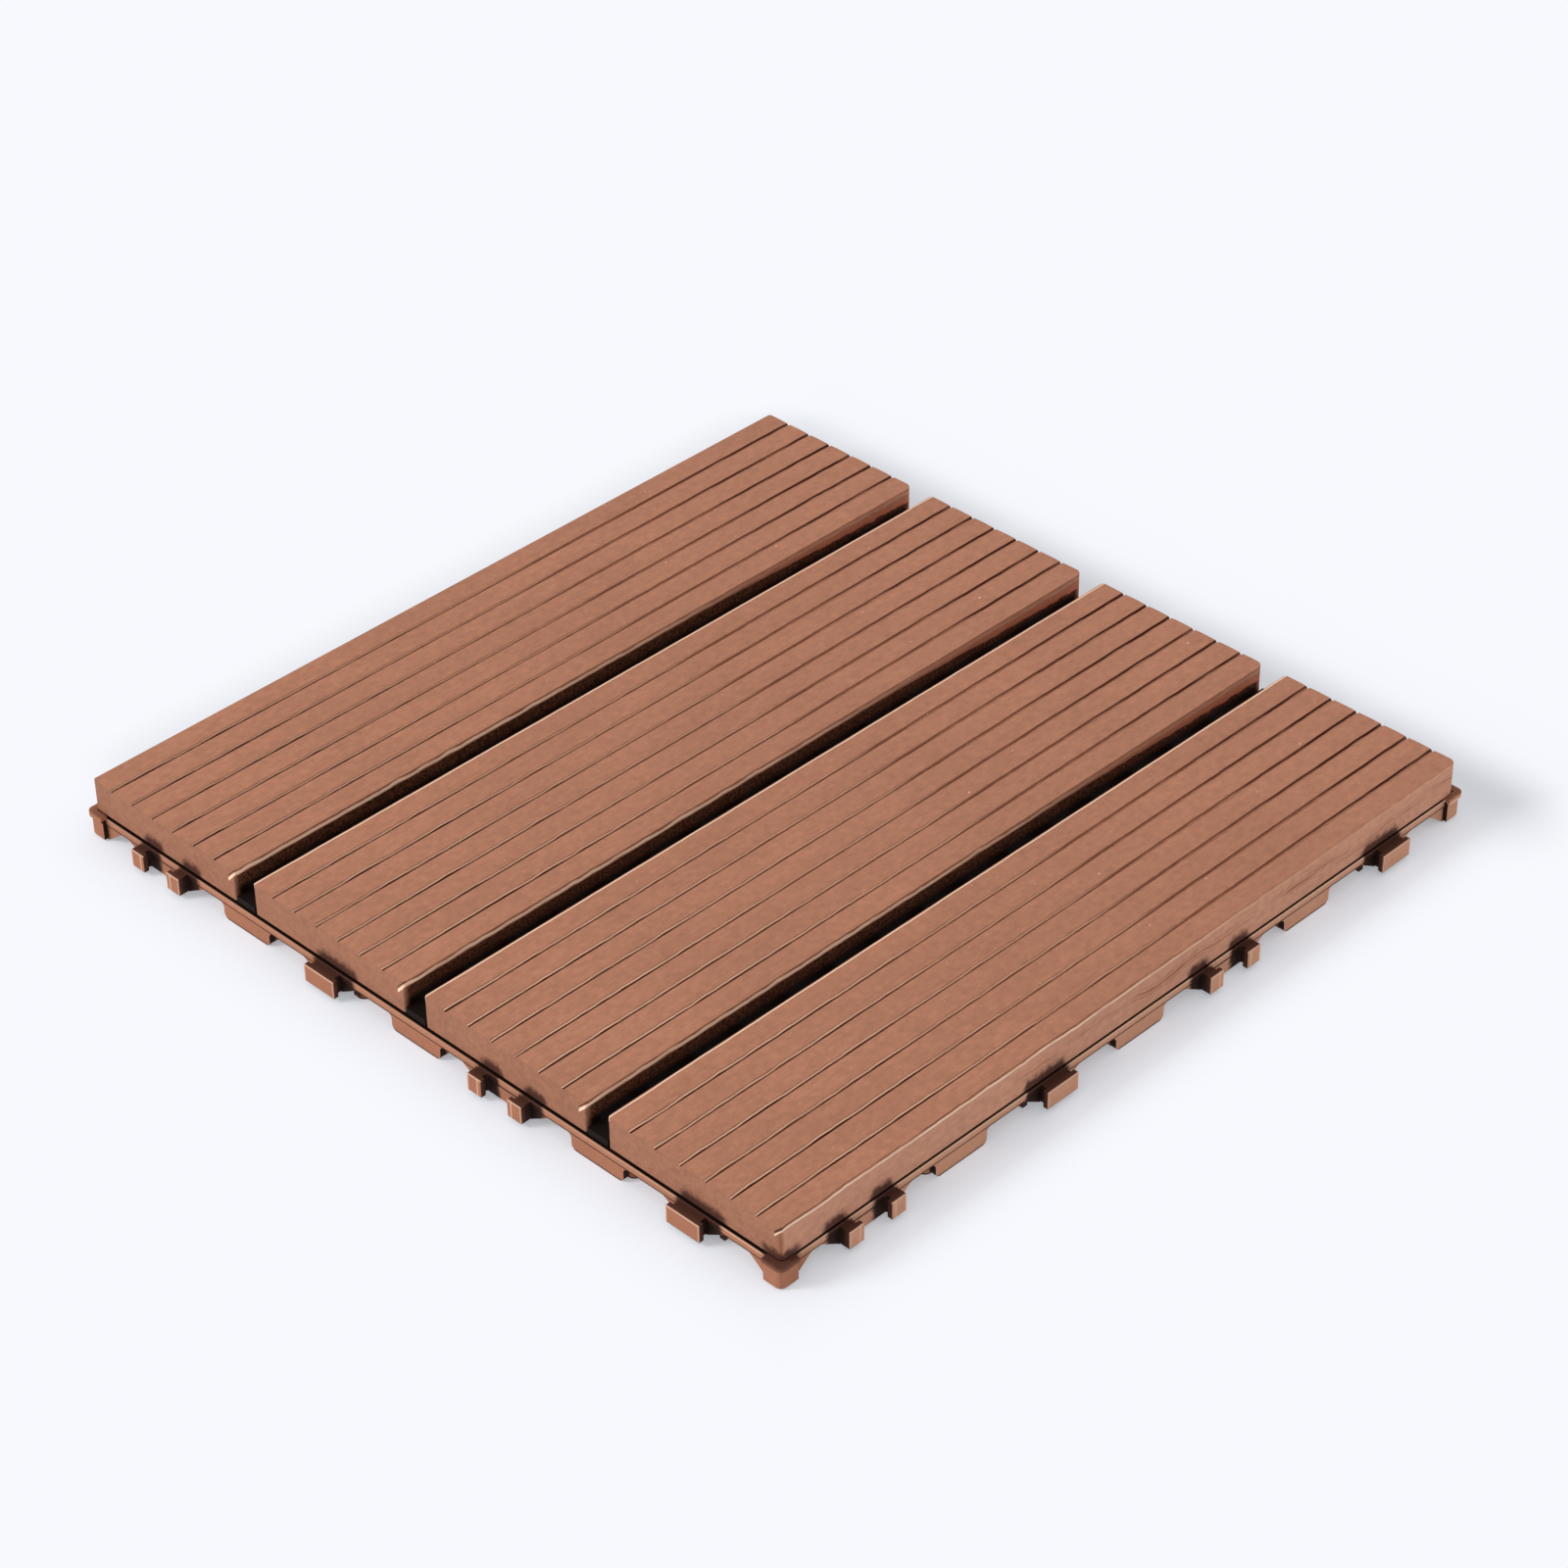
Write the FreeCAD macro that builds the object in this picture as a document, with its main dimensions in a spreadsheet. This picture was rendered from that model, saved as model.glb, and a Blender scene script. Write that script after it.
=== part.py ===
# Interlocking deck tile: four grooved composite slats screwed from below to one moulded base grid.
# Millimetres. +Z is up and the ground is z = 0. The origin is under the middle of the tile.
# The slats run along Y and lie side by side along X. The base has the same four sides, turned by quarters.

import FreeCAD
import Part
import Sketcher
import operator
import os
from types import SimpleNamespace

# Counts that the layout is built on

SLATS = 4
GROOVES = 6
LINES_PER_SLAT = 4
LATTICE_LINES = SLATS * LINES_PER_SLAT
CELLS = LATTICE_LINES - 1
FOOT_STEP = 3
SIDES = ((-1, "left"), (1, "right"))

# Driving dimensions

SIZES = {
    # Slats
    "slat_width": 68.3,
    "slat_gap": 8.8,
    "slat_thickness": 11.6,
    "slat_side_inset": 0.2,
    "slat_end_inset": 0.7,
    "slat_edge_round": 2.0,
    "slat_corner_round": 1.0,
    "slat_chamfer": 0.8,
    "rib_crown": 0.15,
    "groove_margin": 9.32,
    "groove_width": 1.4,
    "groove_depth": 0.9,
    # Lattice that carries the slats
    "seat_height": 9.0,
    "rib_thickness": 2.0,
    "rib_ground_clearance": 1.1,
    "cross_rib_step": 0.3,
    # Rim flange round the lattice, below the slats
    "seam_gap": 0.9,
    "rim_thickness": 2.4,
    # Skirt feet in the middle of each side and between its connectors
    "skirt_thickness": 2.0,
    "skirt_setback": 0.15,
    "skirt_corner_round": 2.0,
    "skirt_root_fillet": 2.0,
    # Connectors
    "connector_reach": 4.0,
    "connector_drop": 0.4,
    "connector_bottom_round": 0.8,
    "connector_side_clearance": 0.5,
    "prong_spacing": 18.4,
    "prong_width": 4.3,
    "prong_root_fillet": 1.2,
    "hook_lip": 1.4,
    "hook_thickness": 1.8,
    "pair_wall": 2.0,
    "tab_wall": 2.0,
    "gusset_reach": 7.5,
    "gusset_thickness": 2.0,
    "gusset_setback": 0.3,
    # Corner feet
    "corner_foot_inset": 5.5,
    "corner_foot_reach": 2.0,
    "corner_foot_step": 0.6,
    "corner_foot_round": 2.5,
    "corner_foot_bottom_round": 1.2,
    "corner_cap": 1.6,
    # Locating lugs between the slat ends
    "lug_height": 2.3,
    "lug_clearance": 0.25,
    # Round feet under the lattice crossings
    "foot_top_radius": 3.3,
    "foot_bottom_radius": 2.7,
    "foot_height": 6.0,
    # Screw bosses and screws
    "boss_plate": 2.4,
    "boss_radius": 5.5,
    "boss_wall": 1.5,
    "boss_ring_height": 3.6,
    "screw_clearance": 0.25,
    "screw_head_radius": 3.5,
    "screw_head_height": 2.2,
    "screw_head_round": 1.2,
    "screw_shank_radius": 1.75,
    "screw_grip": 8.0,
    "screw_tip": 1.6,
    "pilot_clearance": 0.05,
    "pilot_spare_depth": 0.5,
    "recess_length": 3.6,
    "recess_width": 0.9,
    "recess_depth": 1.3,
}

SHEET = "dims"

doc = FreeCAD.newDocument("deck_tile")
sheet = doc.addObject("Spreadsheet::Sheet", SHEET)
for row, (alias, value) in enumerate(SIZES.items(), 1):
    sheet.set(f"A{row}", alias.replace("_", " "))
    sheet.set(f"B{row}", str(value))
    sheet.setAlias(f"B{row}", alias)
doc.recompute()


class Size:
    """A length with its present value and the sheet expression that it follows."""

    def __init__(self, value, text):
        self.value = value
        self.text = text

    def __add__(self, other):
        return joined(operator.add, "+", self, other)

    def __sub__(self, other):
        return joined(operator.sub, "-", self, other)

    def __mul__(self, other):
        return joined(operator.mul, "*", self, other)

    def __truediv__(self, other):
        return joined(operator.truediv, "/", self, other)

    def __neg__(self):
        return self * -1


def sized(number):
    """A plain number or a Size, as a Size."""
    if isinstance(number, Size):
        return number
    return Size(float(number), f"({float(number)})")


def joined(action, sign, first, second):
    first = sized(first)
    second = sized(second)
    return Size(action(first.value, second.value), f"({first.text} {sign} {second.text})")


ZERO = sized(0)
d = SimpleNamespace(**{alias: Size(value, f"{SHEET}.{alias}") for alias, value in SIZES.items()})

# Places worked out from the driving dimensions

slat_pitch = d.slat_width + d.slat_gap
base_side = d.slat_width * SLATS + d.slat_gap * (SLATS - 1) + d.slat_side_inset * 2
base_half = base_side / 2
slat_length = base_side - d.slat_end_inset * 2
slat_half_width = d.slat_width / 2
slat_half_length = slat_length / 2
slat_top = d.seat_height + d.slat_thickness
groove_pitch = (d.slat_width - d.groove_margin * 2) / (GROOVES - 1)

lattice_pitch = slat_pitch / LINES_PER_SLAT
lattice_half = lattice_pitch * (CELLS / 2)
lattice_edge = lattice_half + d.rib_thickness / 2

rim_top = d.seat_height - d.seam_gap
rim_bottom = rim_top - d.rim_thickness
connector_top = rim_top - d.connector_drop
connector_bottom = d.rib_ground_clearance
screw_seat = d.seat_height - d.boss_plate


def line_at(index):
    """Distance of a lattice line from the middle of the tile."""
    return lattice_pitch * (index - CELLS / 2)


def slat_at(index):
    """Distance of a slat's centre line from the middle of the tile."""
    return slat_pitch * (index - (SLATS - 1) / 2)


# Document helpers


def bind(target, name, length):
    target.setExpression(name, sized(length).text)


def place(target, x=0, y=0, z=0):
    for letter, length in zip("xyz", (x, y, z)):
        bind(target, f"Placement.Base.{letter}", length)
    return target


def box(name, low, high):
    """Block between two opposite corners."""
    block = doc.addObject("Part::Box", name)
    for side, start, end in zip(("Length", "Width", "Height"), low, high):
        bind(block, side, sized(end) - start)
    return place(block, *low)


def cylinder(name, radius, height, x=0, y=0, z=0):
    """Upright cylinder on the point x, y, z."""
    round_bar = doc.addObject("Part::Cylinder", name)
    bind(round_bar, "Radius", radius)
    bind(round_bar, "Height", height)
    return place(round_bar, x, y, z)


def fuse(name, pieces):
    joint = doc.addObject("Part::MultiFuse", name)
    joint.Shapes = pieces
    joint.Refine = False
    return joint


def group(name, pieces):
    """Separate solids kept together."""
    compound = doc.addObject("Part::Compound", name)
    compound.Links = pieces
    return compound


def cut(name, base, tool):
    result = doc.addObject("Part::Cut", name)
    result.Base = base
    result.Tool = tool
    return result


def copy_of(source, name, x=0, y=0, turn=0):
    """Linked copy of a finished shape, moved, or turned about the tile's middle."""
    link = doc.addObject("App::Link", name)
    link.LinkedObject = source
    link.Placement = FreeCAD.Placement(FreeCAD.Vector(), FreeCAD.Rotation(FreeCAD.Vector(0, 0, 1), turn))
    return place(link, x, y)


# Sketch helpers


def sketch_on(body, name, role, height=ZERO):
    """Empty sketch on one of the body's own planes, lifted along its normal."""
    sketch = body.newObject("Sketcher::SketchObject", name)
    plane = [feature for feature in body.Origin.OriginFeatures if feature.Role == role][0]
    sketch.AttachmentSupport = [(plane, "")]
    sketch.MapMode = "FlatFace"
    bind(sketch, "AttachmentOffset.Base.z", height)
    return sketch


def hold(sketch, name, kind, references, length):
    """Named dimension in a sketch, bound to its expression."""
    index = sketch.addConstraint(Sketcher.Constraint(kind, *references, length.value))
    sketch.renameConstraint(index, name)
    bind(sketch, f"Constraints.{name}", length)


def pin_point(sketch, name, geometry, end, x, y):
    hold(sketch, f"{name}_x", "DistanceX", (-1, 1, geometry, end), sized(x))
    hold(sketch, f"{name}_y", "DistanceY", (-1, 1, geometry, end), sized(y))


def arc_between(start, end, radius):
    """Anticlockwise arc of under half a turn from start to end."""
    chord = end - start
    across = FreeCAD.Vector(-chord.y, chord.x, 0).normalize()
    rise = max(radius * radius - chord.Length ** 2 / 4, 0.0) ** 0.5
    crest = (start + end) / 2 + across * (rise - radius)
    return Part.Arc(start, crest, end)


def add_outline(sketch, name, path):
    """Closed outline of points x, y. A third value is the radius of an arc to the next point.

    The arc turns anticlockwise, or clockwise where its radius is negative.
    """
    points = [FreeCAD.Vector(sized(point[0]).value, sized(point[1]).value, 0) for point in path]
    starts = []
    ends = []
    for index, point in enumerate(path):
        start = points[index]
        end = points[(index + 1) % len(points)]
        clockwise = len(point) > 2 and point[2].value < 0
        if clockwise:
            geometry = sketch.addGeometry(arc_between(end, start, -point[2].value))
            hold(sketch, f"{name}_{index}_radius", "Radius", (geometry,), -point[2])
        elif len(point) > 2:
            geometry = sketch.addGeometry(arc_between(start, end, point[2].value))
            hold(sketch, f"{name}_{index}_radius", "Radius", (geometry,), point[2])
        else:
            geometry = sketch.addGeometry(Part.LineSegment(start, end))
        starts.append((geometry, 2 if clockwise else 1))
        ends.append((geometry, 1 if clockwise else 2))
    for index, point in enumerate(path):
        sketch.addConstraint(Sketcher.Constraint("Coincident", *ends[index - 1], *starts[index]))
        pin_point(sketch, f"{name}_{index}", *starts[index], point[0], point[1])


def add_circle(sketch, name, x, y, radius):
    centre = FreeCAD.Vector(sized(x).value, sized(y).value, 0)
    geometry = sketch.addGeometry(Part.Circle(centre, FreeCAD.Vector(0, 0, 1), radius.value))
    hold(sketch, f"{name}_radius", "Radius", (geometry,), radius)
    pin_point(sketch, name, geometry, 3, x, y)


def feature(body, kind, name, sketch, **lengths):
    """Pad, Pocket or Revolution of a sketch, made the body's tip."""
    made = body.newObject(f"PartDesign::{kind}", name)
    made.Profile = sketch
    for property_name, length in lengths.items():
        bind(made, property_name, length)
    body.Tip = made
    return made


def extruded(name, role, start, depth, path):
    """Body with one outline padded along its plane's normal."""
    body = doc.addObject("PartDesign::Body", name)
    sketch = sketch_on(body, f"{name}_outline", role, start)
    add_outline(sketch, "edge", path)
    feature(body, "Pad", f"{name}_pad", sketch, Length=depth)
    return body


def rounded_bottom(body, name, height, radius):
    """Round the body's lowest edges, which lie at the given height."""
    doc.recompute()
    tip = body.Tip
    near = 0.001
    edges = [
        f"Edge{index}"
        for index, edge in enumerate(tip.Shape.Edges, 1)
        if edge.BoundBox.ZMax < height.value + near
    ]
    rounding = body.newObject("PartDesign::Fillet", name)
    rounding.Base = (tip, edges)
    bind(rounding, "Radius", radius)
    body.Tip = rounding
    return body


# Slats


def slat_profile():
    """Cross-section of a slat: chamfered below, rounded edges, crowned ribs between V grooves."""
    half = slat_half_width
    lip_height = slat_top - d.rib_crown
    rib_chord = groove_pitch - d.groove_width
    rib_radius = rib_chord * rib_chord / (d.rib_crown * 8) + d.rib_crown / 2
    path = [
        (-half + d.slat_chamfer, d.seat_height),
        (half - d.slat_chamfer, d.seat_height),
        (half, d.seat_height + d.slat_chamfer),
        (half, slat_top - d.slat_edge_round, d.slat_edge_round),
        (half - d.slat_edge_round, slat_top),
    ]
    for index in reversed(range(GROOVES)):
        middle = -half + d.groove_margin + groove_pitch * index
        path.append((middle + d.groove_width / 2, lip_height))
        path.append((middle, slat_top - d.groove_depth))
        if index > 0:
            path.append((middle - d.groove_width / 2, lip_height, rib_radius))
        else:
            path.append((middle - d.groove_width / 2, lip_height))
    path.append((-half + d.slat_edge_round, slat_top, d.slat_edge_round))
    path.append((-half, slat_top - d.slat_edge_round))
    path.append((-half, d.seat_height + d.slat_chamfer))
    return path


def corner_trim(side, end):
    """Outline of what is cut off one upright corner of a slat to round it."""
    spare = 1
    radius = d.slat_corner_round
    x = slat_half_width * side
    y = slat_half_length * end
    return [
        (x, y - radius * end),
        (x + spare * side, y - radius * end),
        (x + spare * side, y + spare * end),
        (x - radius * side, y + spare * end),
        (x - radius * side, y, radius * (-side * end)),
    ]


def make_slat(index):
    """One solid composite slat with pilot holes for its screws."""
    name = f"slat_{index + 1}"
    body = doc.addObject("PartDesign::Body", name)
    section = sketch_on(body, f"{name}_section", "XZ_Plane")
    add_outline(section, "edge", slat_profile())
    pad = feature(body, "Pad", f"{name}_length", section, Length=slat_length)
    pad.SideType = "Symmetric"
    corners = sketch_on(body, f"{name}_corners", "XY_Plane", d.seat_height)
    for side in (1, -1):
        for end in (1, -1):
            label = ("right" if side > 0 else "left") + ("_far" if end > 0 else "_near")
            add_outline(corners, label, corner_trim(side, end))
    trim = feature(body, "Pocket", f"{name}_corner_rounds", corners, Length=d.slat_thickness)
    trim.Reversed = True
    pilots = sketch_on(body, f"{name}_pilots", "XY_Plane", d.seat_height)
    for hole in range(SLATS):
        add_circle(pilots, f"pilot_{hole}", 0, slat_at(hole), d.screw_shank_radius + d.pilot_clearance)
    drilled = feature(body, "Pocket", f"{name}_pilot_holes", pilots, Length=d.screw_grip + d.pilot_spare_depth)
    drilled.Reversed = True
    return place(body, slat_at(index))


# Base: lattice, rim and lugs


def make_ribs():
    """Ribs of the lattice. The slats lie on those along X. Those along Y are a step lower and shallower."""
    half = d.rib_thickness / 2
    low = d.rib_ground_clearance
    step = d.cross_rib_step
    ribs = []
    for index in range(LATTICE_LINES):
        line = line_at(index)
        start = (-lattice_edge, line - half, low)
        stop = (lattice_edge, line + half, d.seat_height)
        ribs.append(box(f"rib_{index + 1}", start, stop))
        start = (line - half, -lattice_half, low + step)
        stop = (line + half, lattice_half, d.seat_height - step)
        ribs.append(box(f"cross_rib_{index + 1}", start, stop))
    return ribs


def make_rim():
    """Flat flange round the lattice, a seam's height below the slats."""
    outer = box("rim_outer", (-base_half, -base_half, rim_bottom), (base_half, base_half, rim_top))
    hole = lattice_half
    inner = box("rim_inner", (-hole, -hole, rim_bottom), (hole, hole, rim_top))
    return cut("rim", outer, inner)


def make_lugs():
    """Lugs that keep the slats apart, one at each end of each gap."""
    half_width = d.slat_gap / 2 - d.lug_clearance
    inner = lattice_half - d.rib_thickness / 2
    lugs = []
    for gap in range(SLATS - 1):
        middle = slat_pitch * (gap - (SLATS - 2) / 2)
        for end, label in ((-1, "near"), (1, "far")):
            start = slat_half_length * -1 if end < 0 else inner
            stop = inner * -1 if end < 0 else slat_half_length
            low = (middle - half_width, start, d.seat_height)
            high = (middle + half_width, stop, d.seat_height + d.lug_height)
            lugs.append(box(f"lug_{gap + 1}_{label}", low, high))
    return lugs


# Base: what stands on one side, drawn on the near side about x = 0


def make_skirt():
    """Foot plate below the rim with rounded corners, held by a rib at each edge."""
    half = (lattice_pitch + d.rib_thickness) / 2
    root = half + d.skirt_root_fillet
    plate = extruded(
        "skirt_plate", "XZ_Plane", base_half - d.skirt_setback - d.skirt_thickness, d.skirt_thickness,
        [
            (-root, rim_bottom, -d.skirt_root_fillet),
            (-half, rim_bottom - d.skirt_root_fillet),
            (-half, d.skirt_corner_round, d.skirt_corner_round),
            (-half + d.skirt_corner_round, ZERO),
            (half - d.skirt_corner_round, ZERO, d.skirt_corner_round),
            (half, d.skirt_corner_round),
            (half, rim_bottom - d.skirt_root_fillet, -d.skirt_root_fillet),
            (root, rim_bottom),
            (root, rim_bottom + d.rim_thickness / 2),
            (-root, rim_bottom + d.rim_thickness / 2),
        ],
    )
    ribs = [side_rib(f"skirt_rib_{label}", lattice_pitch * (side / 2)) for side, label in SIDES]
    return fuse("skirt", [plate] + ribs)


def side_rib(name, x):
    """Rib from the lattice out to the back of a plate on the rim."""
    half = d.rib_thickness / 2
    low = (x - half, -base_half + d.skirt_thickness, d.rib_ground_clearance)
    high = (x + half, -lattice_half, rim_bottom)
    return box(name, low, high)


def gusset(name, root, edge, direction, bottom):
    """Web under the rim whose lower edge rises from the side of a foot or connector.

    The root lies inside the stiffened piece, the edge is that piece's side, and the direction is 1 or -1.
    """
    tip = edge + d.gusset_reach * direction
    top = rim_bottom + d.rim_thickness / 2
    back = base_half - d.gusset_setback - d.gusset_thickness
    path = [(root, bottom), (edge, bottom), (tip, rim_bottom), (tip, top), (root, top)]
    return extruded(name, "XZ_Plane", back, d.gusset_thickness, path)


def hook_prong(name, side):
    """One prong of a pair, with its lip turned towards the other prong."""
    outer = (d.prong_spacing + d.prong_width) / 2 * side
    inner = (d.prong_spacing - d.prong_width) / 2 * side
    face = -base_half
    front = face - d.connector_reach
    back = face + d.pair_wall
    fillet = d.prong_root_fillet
    path = [
        (outer, back),
        (outer, front),
        (inner - d.hook_lip * side, front),
        (inner - d.hook_lip * side, front + d.hook_thickness),
        (inner, front + d.hook_thickness),
        (inner, face - fillet, fillet * side),
        (inner - fillet * side, face),
        (inner - fillet * side, back),
    ]
    height = connector_top - connector_bottom
    body = extruded(name, "XY_Plane", connector_bottom, height, path)
    return rounded_bottom(body, f"{name}_rounding", connector_bottom, d.connector_bottom_round)


def make_pair():
    """Pair of hooked prongs that takes the T-shaped tab of the next tile."""
    half = (d.prong_spacing + d.prong_width) / 2
    wall = box(
        "pair_wall_plate",
        (-half, -base_half, connector_bottom),
        (half, -base_half + d.pair_wall, rim_top),
    )
    prongs = [hook_prong(f"prong_{label}", side) for side, label in SIDES]
    ribs = [side_rib(f"pair_rib_{label}", lattice_pitch * (side / 2)) for side, label in SIDES]
    gussets = [
        gusset(f"pair_gusset_{label}", (half - d.prong_width / 2) * side, half * side, side, connector_bottom)
        for side, label in SIDES
    ]
    return fuse("pair", [wall] + prongs + ribs + gussets)


def make_tab():
    """T-shaped tab, hollow from below, with a gusset on either side."""
    shank_gap = d.prong_spacing - d.prong_width
    head = shank_gap / 2 - d.connector_side_clearance
    neck = shank_gap / 2 - d.hook_lip - d.connector_side_clearance
    front = -base_half - d.connector_reach
    path = [
        (-neck, -lattice_half),
        (-neck, front + d.hook_thickness),
        (-head, front + d.hook_thickness),
        (-head, front),
        (head, front),
        (head, front + d.hook_thickness),
        (neck, front + d.hook_thickness),
        (neck, -lattice_half),
    ]
    solid = extruded("tab_solid", "XY_Plane", connector_bottom, connector_top - connector_bottom, path)
    rounded_bottom(solid, "tab_rounding", connector_bottom, d.connector_bottom_round)
    wall = d.tab_wall
    hollow = box(
        "tab_hollow",
        (-neck + wall, front + wall, ZERO),
        (neck - wall, -lattice_edge, connector_top - wall),
    )
    tongue = cut("tab_tongue", solid, hollow)
    gussets = [
        gusset(f"tab_gusset_{label}", (neck - wall / 2) * side, neck * side, side, connector_bottom)
        for side, label in SIDES
    ]
    ribs = [side_rib(f"tab_rib_{label}", lattice_pitch * (side / 2)) for side, label in SIDES]
    return fuse("tab", [tongue] + gussets + ribs)


def make_corner_foot():
    """Foot that stands out under the left corner of a side, with a cap under the slat and two gussets."""
    inner = -base_half + d.corner_foot_inset
    outer = -base_half - d.corner_foot_reach
    step = outer + d.corner_foot_step
    radius = d.corner_foot_round
    cap_bottom = d.seat_height - d.corner_cap
    cap = extruded("corner_cap_plate", "XY_Plane", cap_bottom, d.corner_cap, rounded_square(inner, outer, radius))
    block = extruded("corner_block", "XY_Plane", ZERO, cap_bottom, rounded_square(inner, step, radius))
    rounded_bottom(block, "corner_rounding", ZERO, d.corner_foot_bottom_round)
    root = inner - d.gusset_thickness
    near = gusset("corner_gusset_near", root, inner, 1, ZERO)
    unturned = gusset("corner_gusset_unturned", -root, -inner, -1, ZERO)
    left = copy_of(unturned, "corner_gusset_left", turn=-90)
    return fuse("corner_foot", [cap, block, near, left])


def rounded_square(inner, outer, radius):
    """Square in the near left corner, rounded at its outer corner."""
    return [
        (inner, inner),
        (outer, inner),
        (outer, outer + radius, radius),
        (outer + radius, outer),
        (inner, outer),
    ]


def make_side():
    """All that one side of the base carries, from its left corner to its right end."""
    skirt = make_skirt()
    pair = make_pair()
    tab = make_tab()
    pieces = [make_corner_foot()]
    for index in range(SLATS - 1):
        pieces.append(copy_of(skirt, f"skirt_at_{index + 1}", slat_pitch * (index - (SLATS - 2) / 2)))
    for index in range(SLATS):
        kind = (pair, tab)[index % 2]
        pieces.append(copy_of(kind, f"connector_at_{index + 1}", slat_at(index)))
    return fuse("side", pieces)


# Base: screw bosses and round feet


def make_boss():
    """Plate that fills a lattice cell, with a ring and a stepped hole for a screw."""
    half = lattice_pitch / 2
    plate = box("boss_plate_block", (-half, -half, screw_seat), (half, half, d.seat_height))
    ring_bottom = screw_seat - d.boss_ring_height
    ring = cylinder("boss_ring", d.boss_radius, d.boss_ring_height, z=ring_bottom)
    well = cylinder("boss_well", d.boss_radius - d.boss_wall, d.boss_ring_height, z=ring_bottom)
    hole = cylinder("boss_hole", d.screw_shank_radius + d.screw_clearance, d.boss_plate, z=screw_seat)
    return cut("boss", fuse("boss_solid", [plate, ring]), fuse("boss_bore", [well, hole]))


def make_foot():
    """Tapered round foot under a crossing of ribs."""
    foot = doc.addObject("Part::Cone", "foot")
    bind(foot, "Radius1", d.foot_bottom_radius)
    bind(foot, "Radius2", d.foot_top_radius)
    bind(foot, "Height", d.foot_height)
    return foot


def make_base():
    """The whole moulded base, one solid."""
    side = make_side()
    outer = [make_rim()] + make_lugs()
    outer += [copy_of(side, f"side_{quarter + 1}", turn=90 * quarter) for quarter in range(4)]
    inner = make_ribs()
    boss = make_boss()
    for column in range(SLATS):
        for row in range(SLATS):
            inner.append(copy_of(boss, f"boss_{column + 1}_{row + 1}", slat_at(column), slat_at(row)))
    foot = make_foot()
    foot_lines = range(0, LATTICE_LINES, FOOT_STEP)
    corners = (foot_lines[0], foot_lines[-1])
    for column in foot_lines:
        for row in foot_lines:
            if not (column in corners and row in corners):
                inner.append(copy_of(foot, f"foot_{column}_{row}", line_at(column), line_at(row)))
    base = fuse("base_grid", [fuse("base_inside", inner), fuse("base_edge", outer)])
    base.Refine = True
    return base


# Screws


def make_screw():
    """Pan head screw, head down, with a cross recess and a pointed end."""
    body = doc.addObject("PartDesign::Body", "screw")
    head_bottom = screw_seat - d.screw_head_height
    shank_end = d.seat_height + d.screw_grip
    outline = sketch_on(body, "screw_outline", "XZ_Plane")
    path = [
        (ZERO, head_bottom),
        (d.screw_head_radius - d.screw_head_round, head_bottom, d.screw_head_round),
        (d.screw_head_radius, head_bottom + d.screw_head_round),
        (d.screw_head_radius, screw_seat),
        (d.screw_shank_radius, screw_seat),
        (d.screw_shank_radius, shank_end - d.screw_tip),
        (ZERO, shank_end),
    ]
    add_outline(outline, "edge", path)
    turned = feature(body, "Revolution", "screw_turned", outline)
    turned.ReferenceAxis = (outline, ["V_Axis"])
    turned.Angle = 360
    recess = sketch_on(body, "recess_outline", "XY_Plane", head_bottom)
    add_outline(recess, "cross", cross(d.recess_length / 2, d.recess_width / 2))
    socket = feature(body, "Pocket", "recess", recess, Length=d.recess_depth)
    socket.Reversed = True
    return body


def cross(reach, half):
    """Outline of a plus sign."""
    return [
        (-half, -reach),
        (half, -reach),
        (half, -half),
        (reach, -half),
        (reach, half),
        (half, half),
        (half, reach),
        (-half, reach),
        (-half, half),
        (-reach, half),
        (-reach, -half),
        (-half, -half),
    ]


def make_screws():
    """The identical screws, one under each boss, as separate solids of one sub-part."""
    screw = make_screw()
    screws = [
        copy_of(screw, f"screw_{column + 1}_{row + 1}", slat_at(column), slat_at(row))
        for column in range(SLATS)
        for row in range(SLATS)
    ]
    return group("deck_screws", screws)


def write_parts(subparts):
    """Check the whole document, then write each sub-part to its own file."""
    doc.recompute()
    for item in doc.Objects:
        if {"Invalid", "Error"} & set(item.State):
            raise RuntimeError(f"{item.Name} failed: {item.State}")
    for subpart in subparts:
        if subpart.Shape.isNull() or not subpart.Shape.isValid():
            raise RuntimeError(f"{subpart.Label} has no valid shape")
    os.makedirs("parts", exist_ok=True)
    for subpart in subparts:
        subpart.Shape.exportStep(f"parts/{subpart.Label}.step")
        solids = len(subpart.Shape.Solids)
        print(f"{subpart.Label}: {solids} solid(s), {subpart.Shape.Volume:.1f} cubic mm")


write_parts([make_base()] + [make_slat(index) for index in range(SLATS)] + [make_screws()])
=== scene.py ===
"""Looks of an interlocking deck tile: four brushed composite slats on a moulded lattice base.

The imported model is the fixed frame. The slats and the screws get new meshes, with crowned ribs, soft
edges and cross recesses, and the base keeps its solid. Sizes and places are in millimetres, save where
a name ends in _m, and the meshes are in metres. All of it is in the tile's own frame.
"""

import logging
import math
from dataclasses import dataclass
from enum import Enum
from functools import cached_property, reduce
from typing import Callable, Sequence, Union

import bpy
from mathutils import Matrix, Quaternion, Vector


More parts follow.
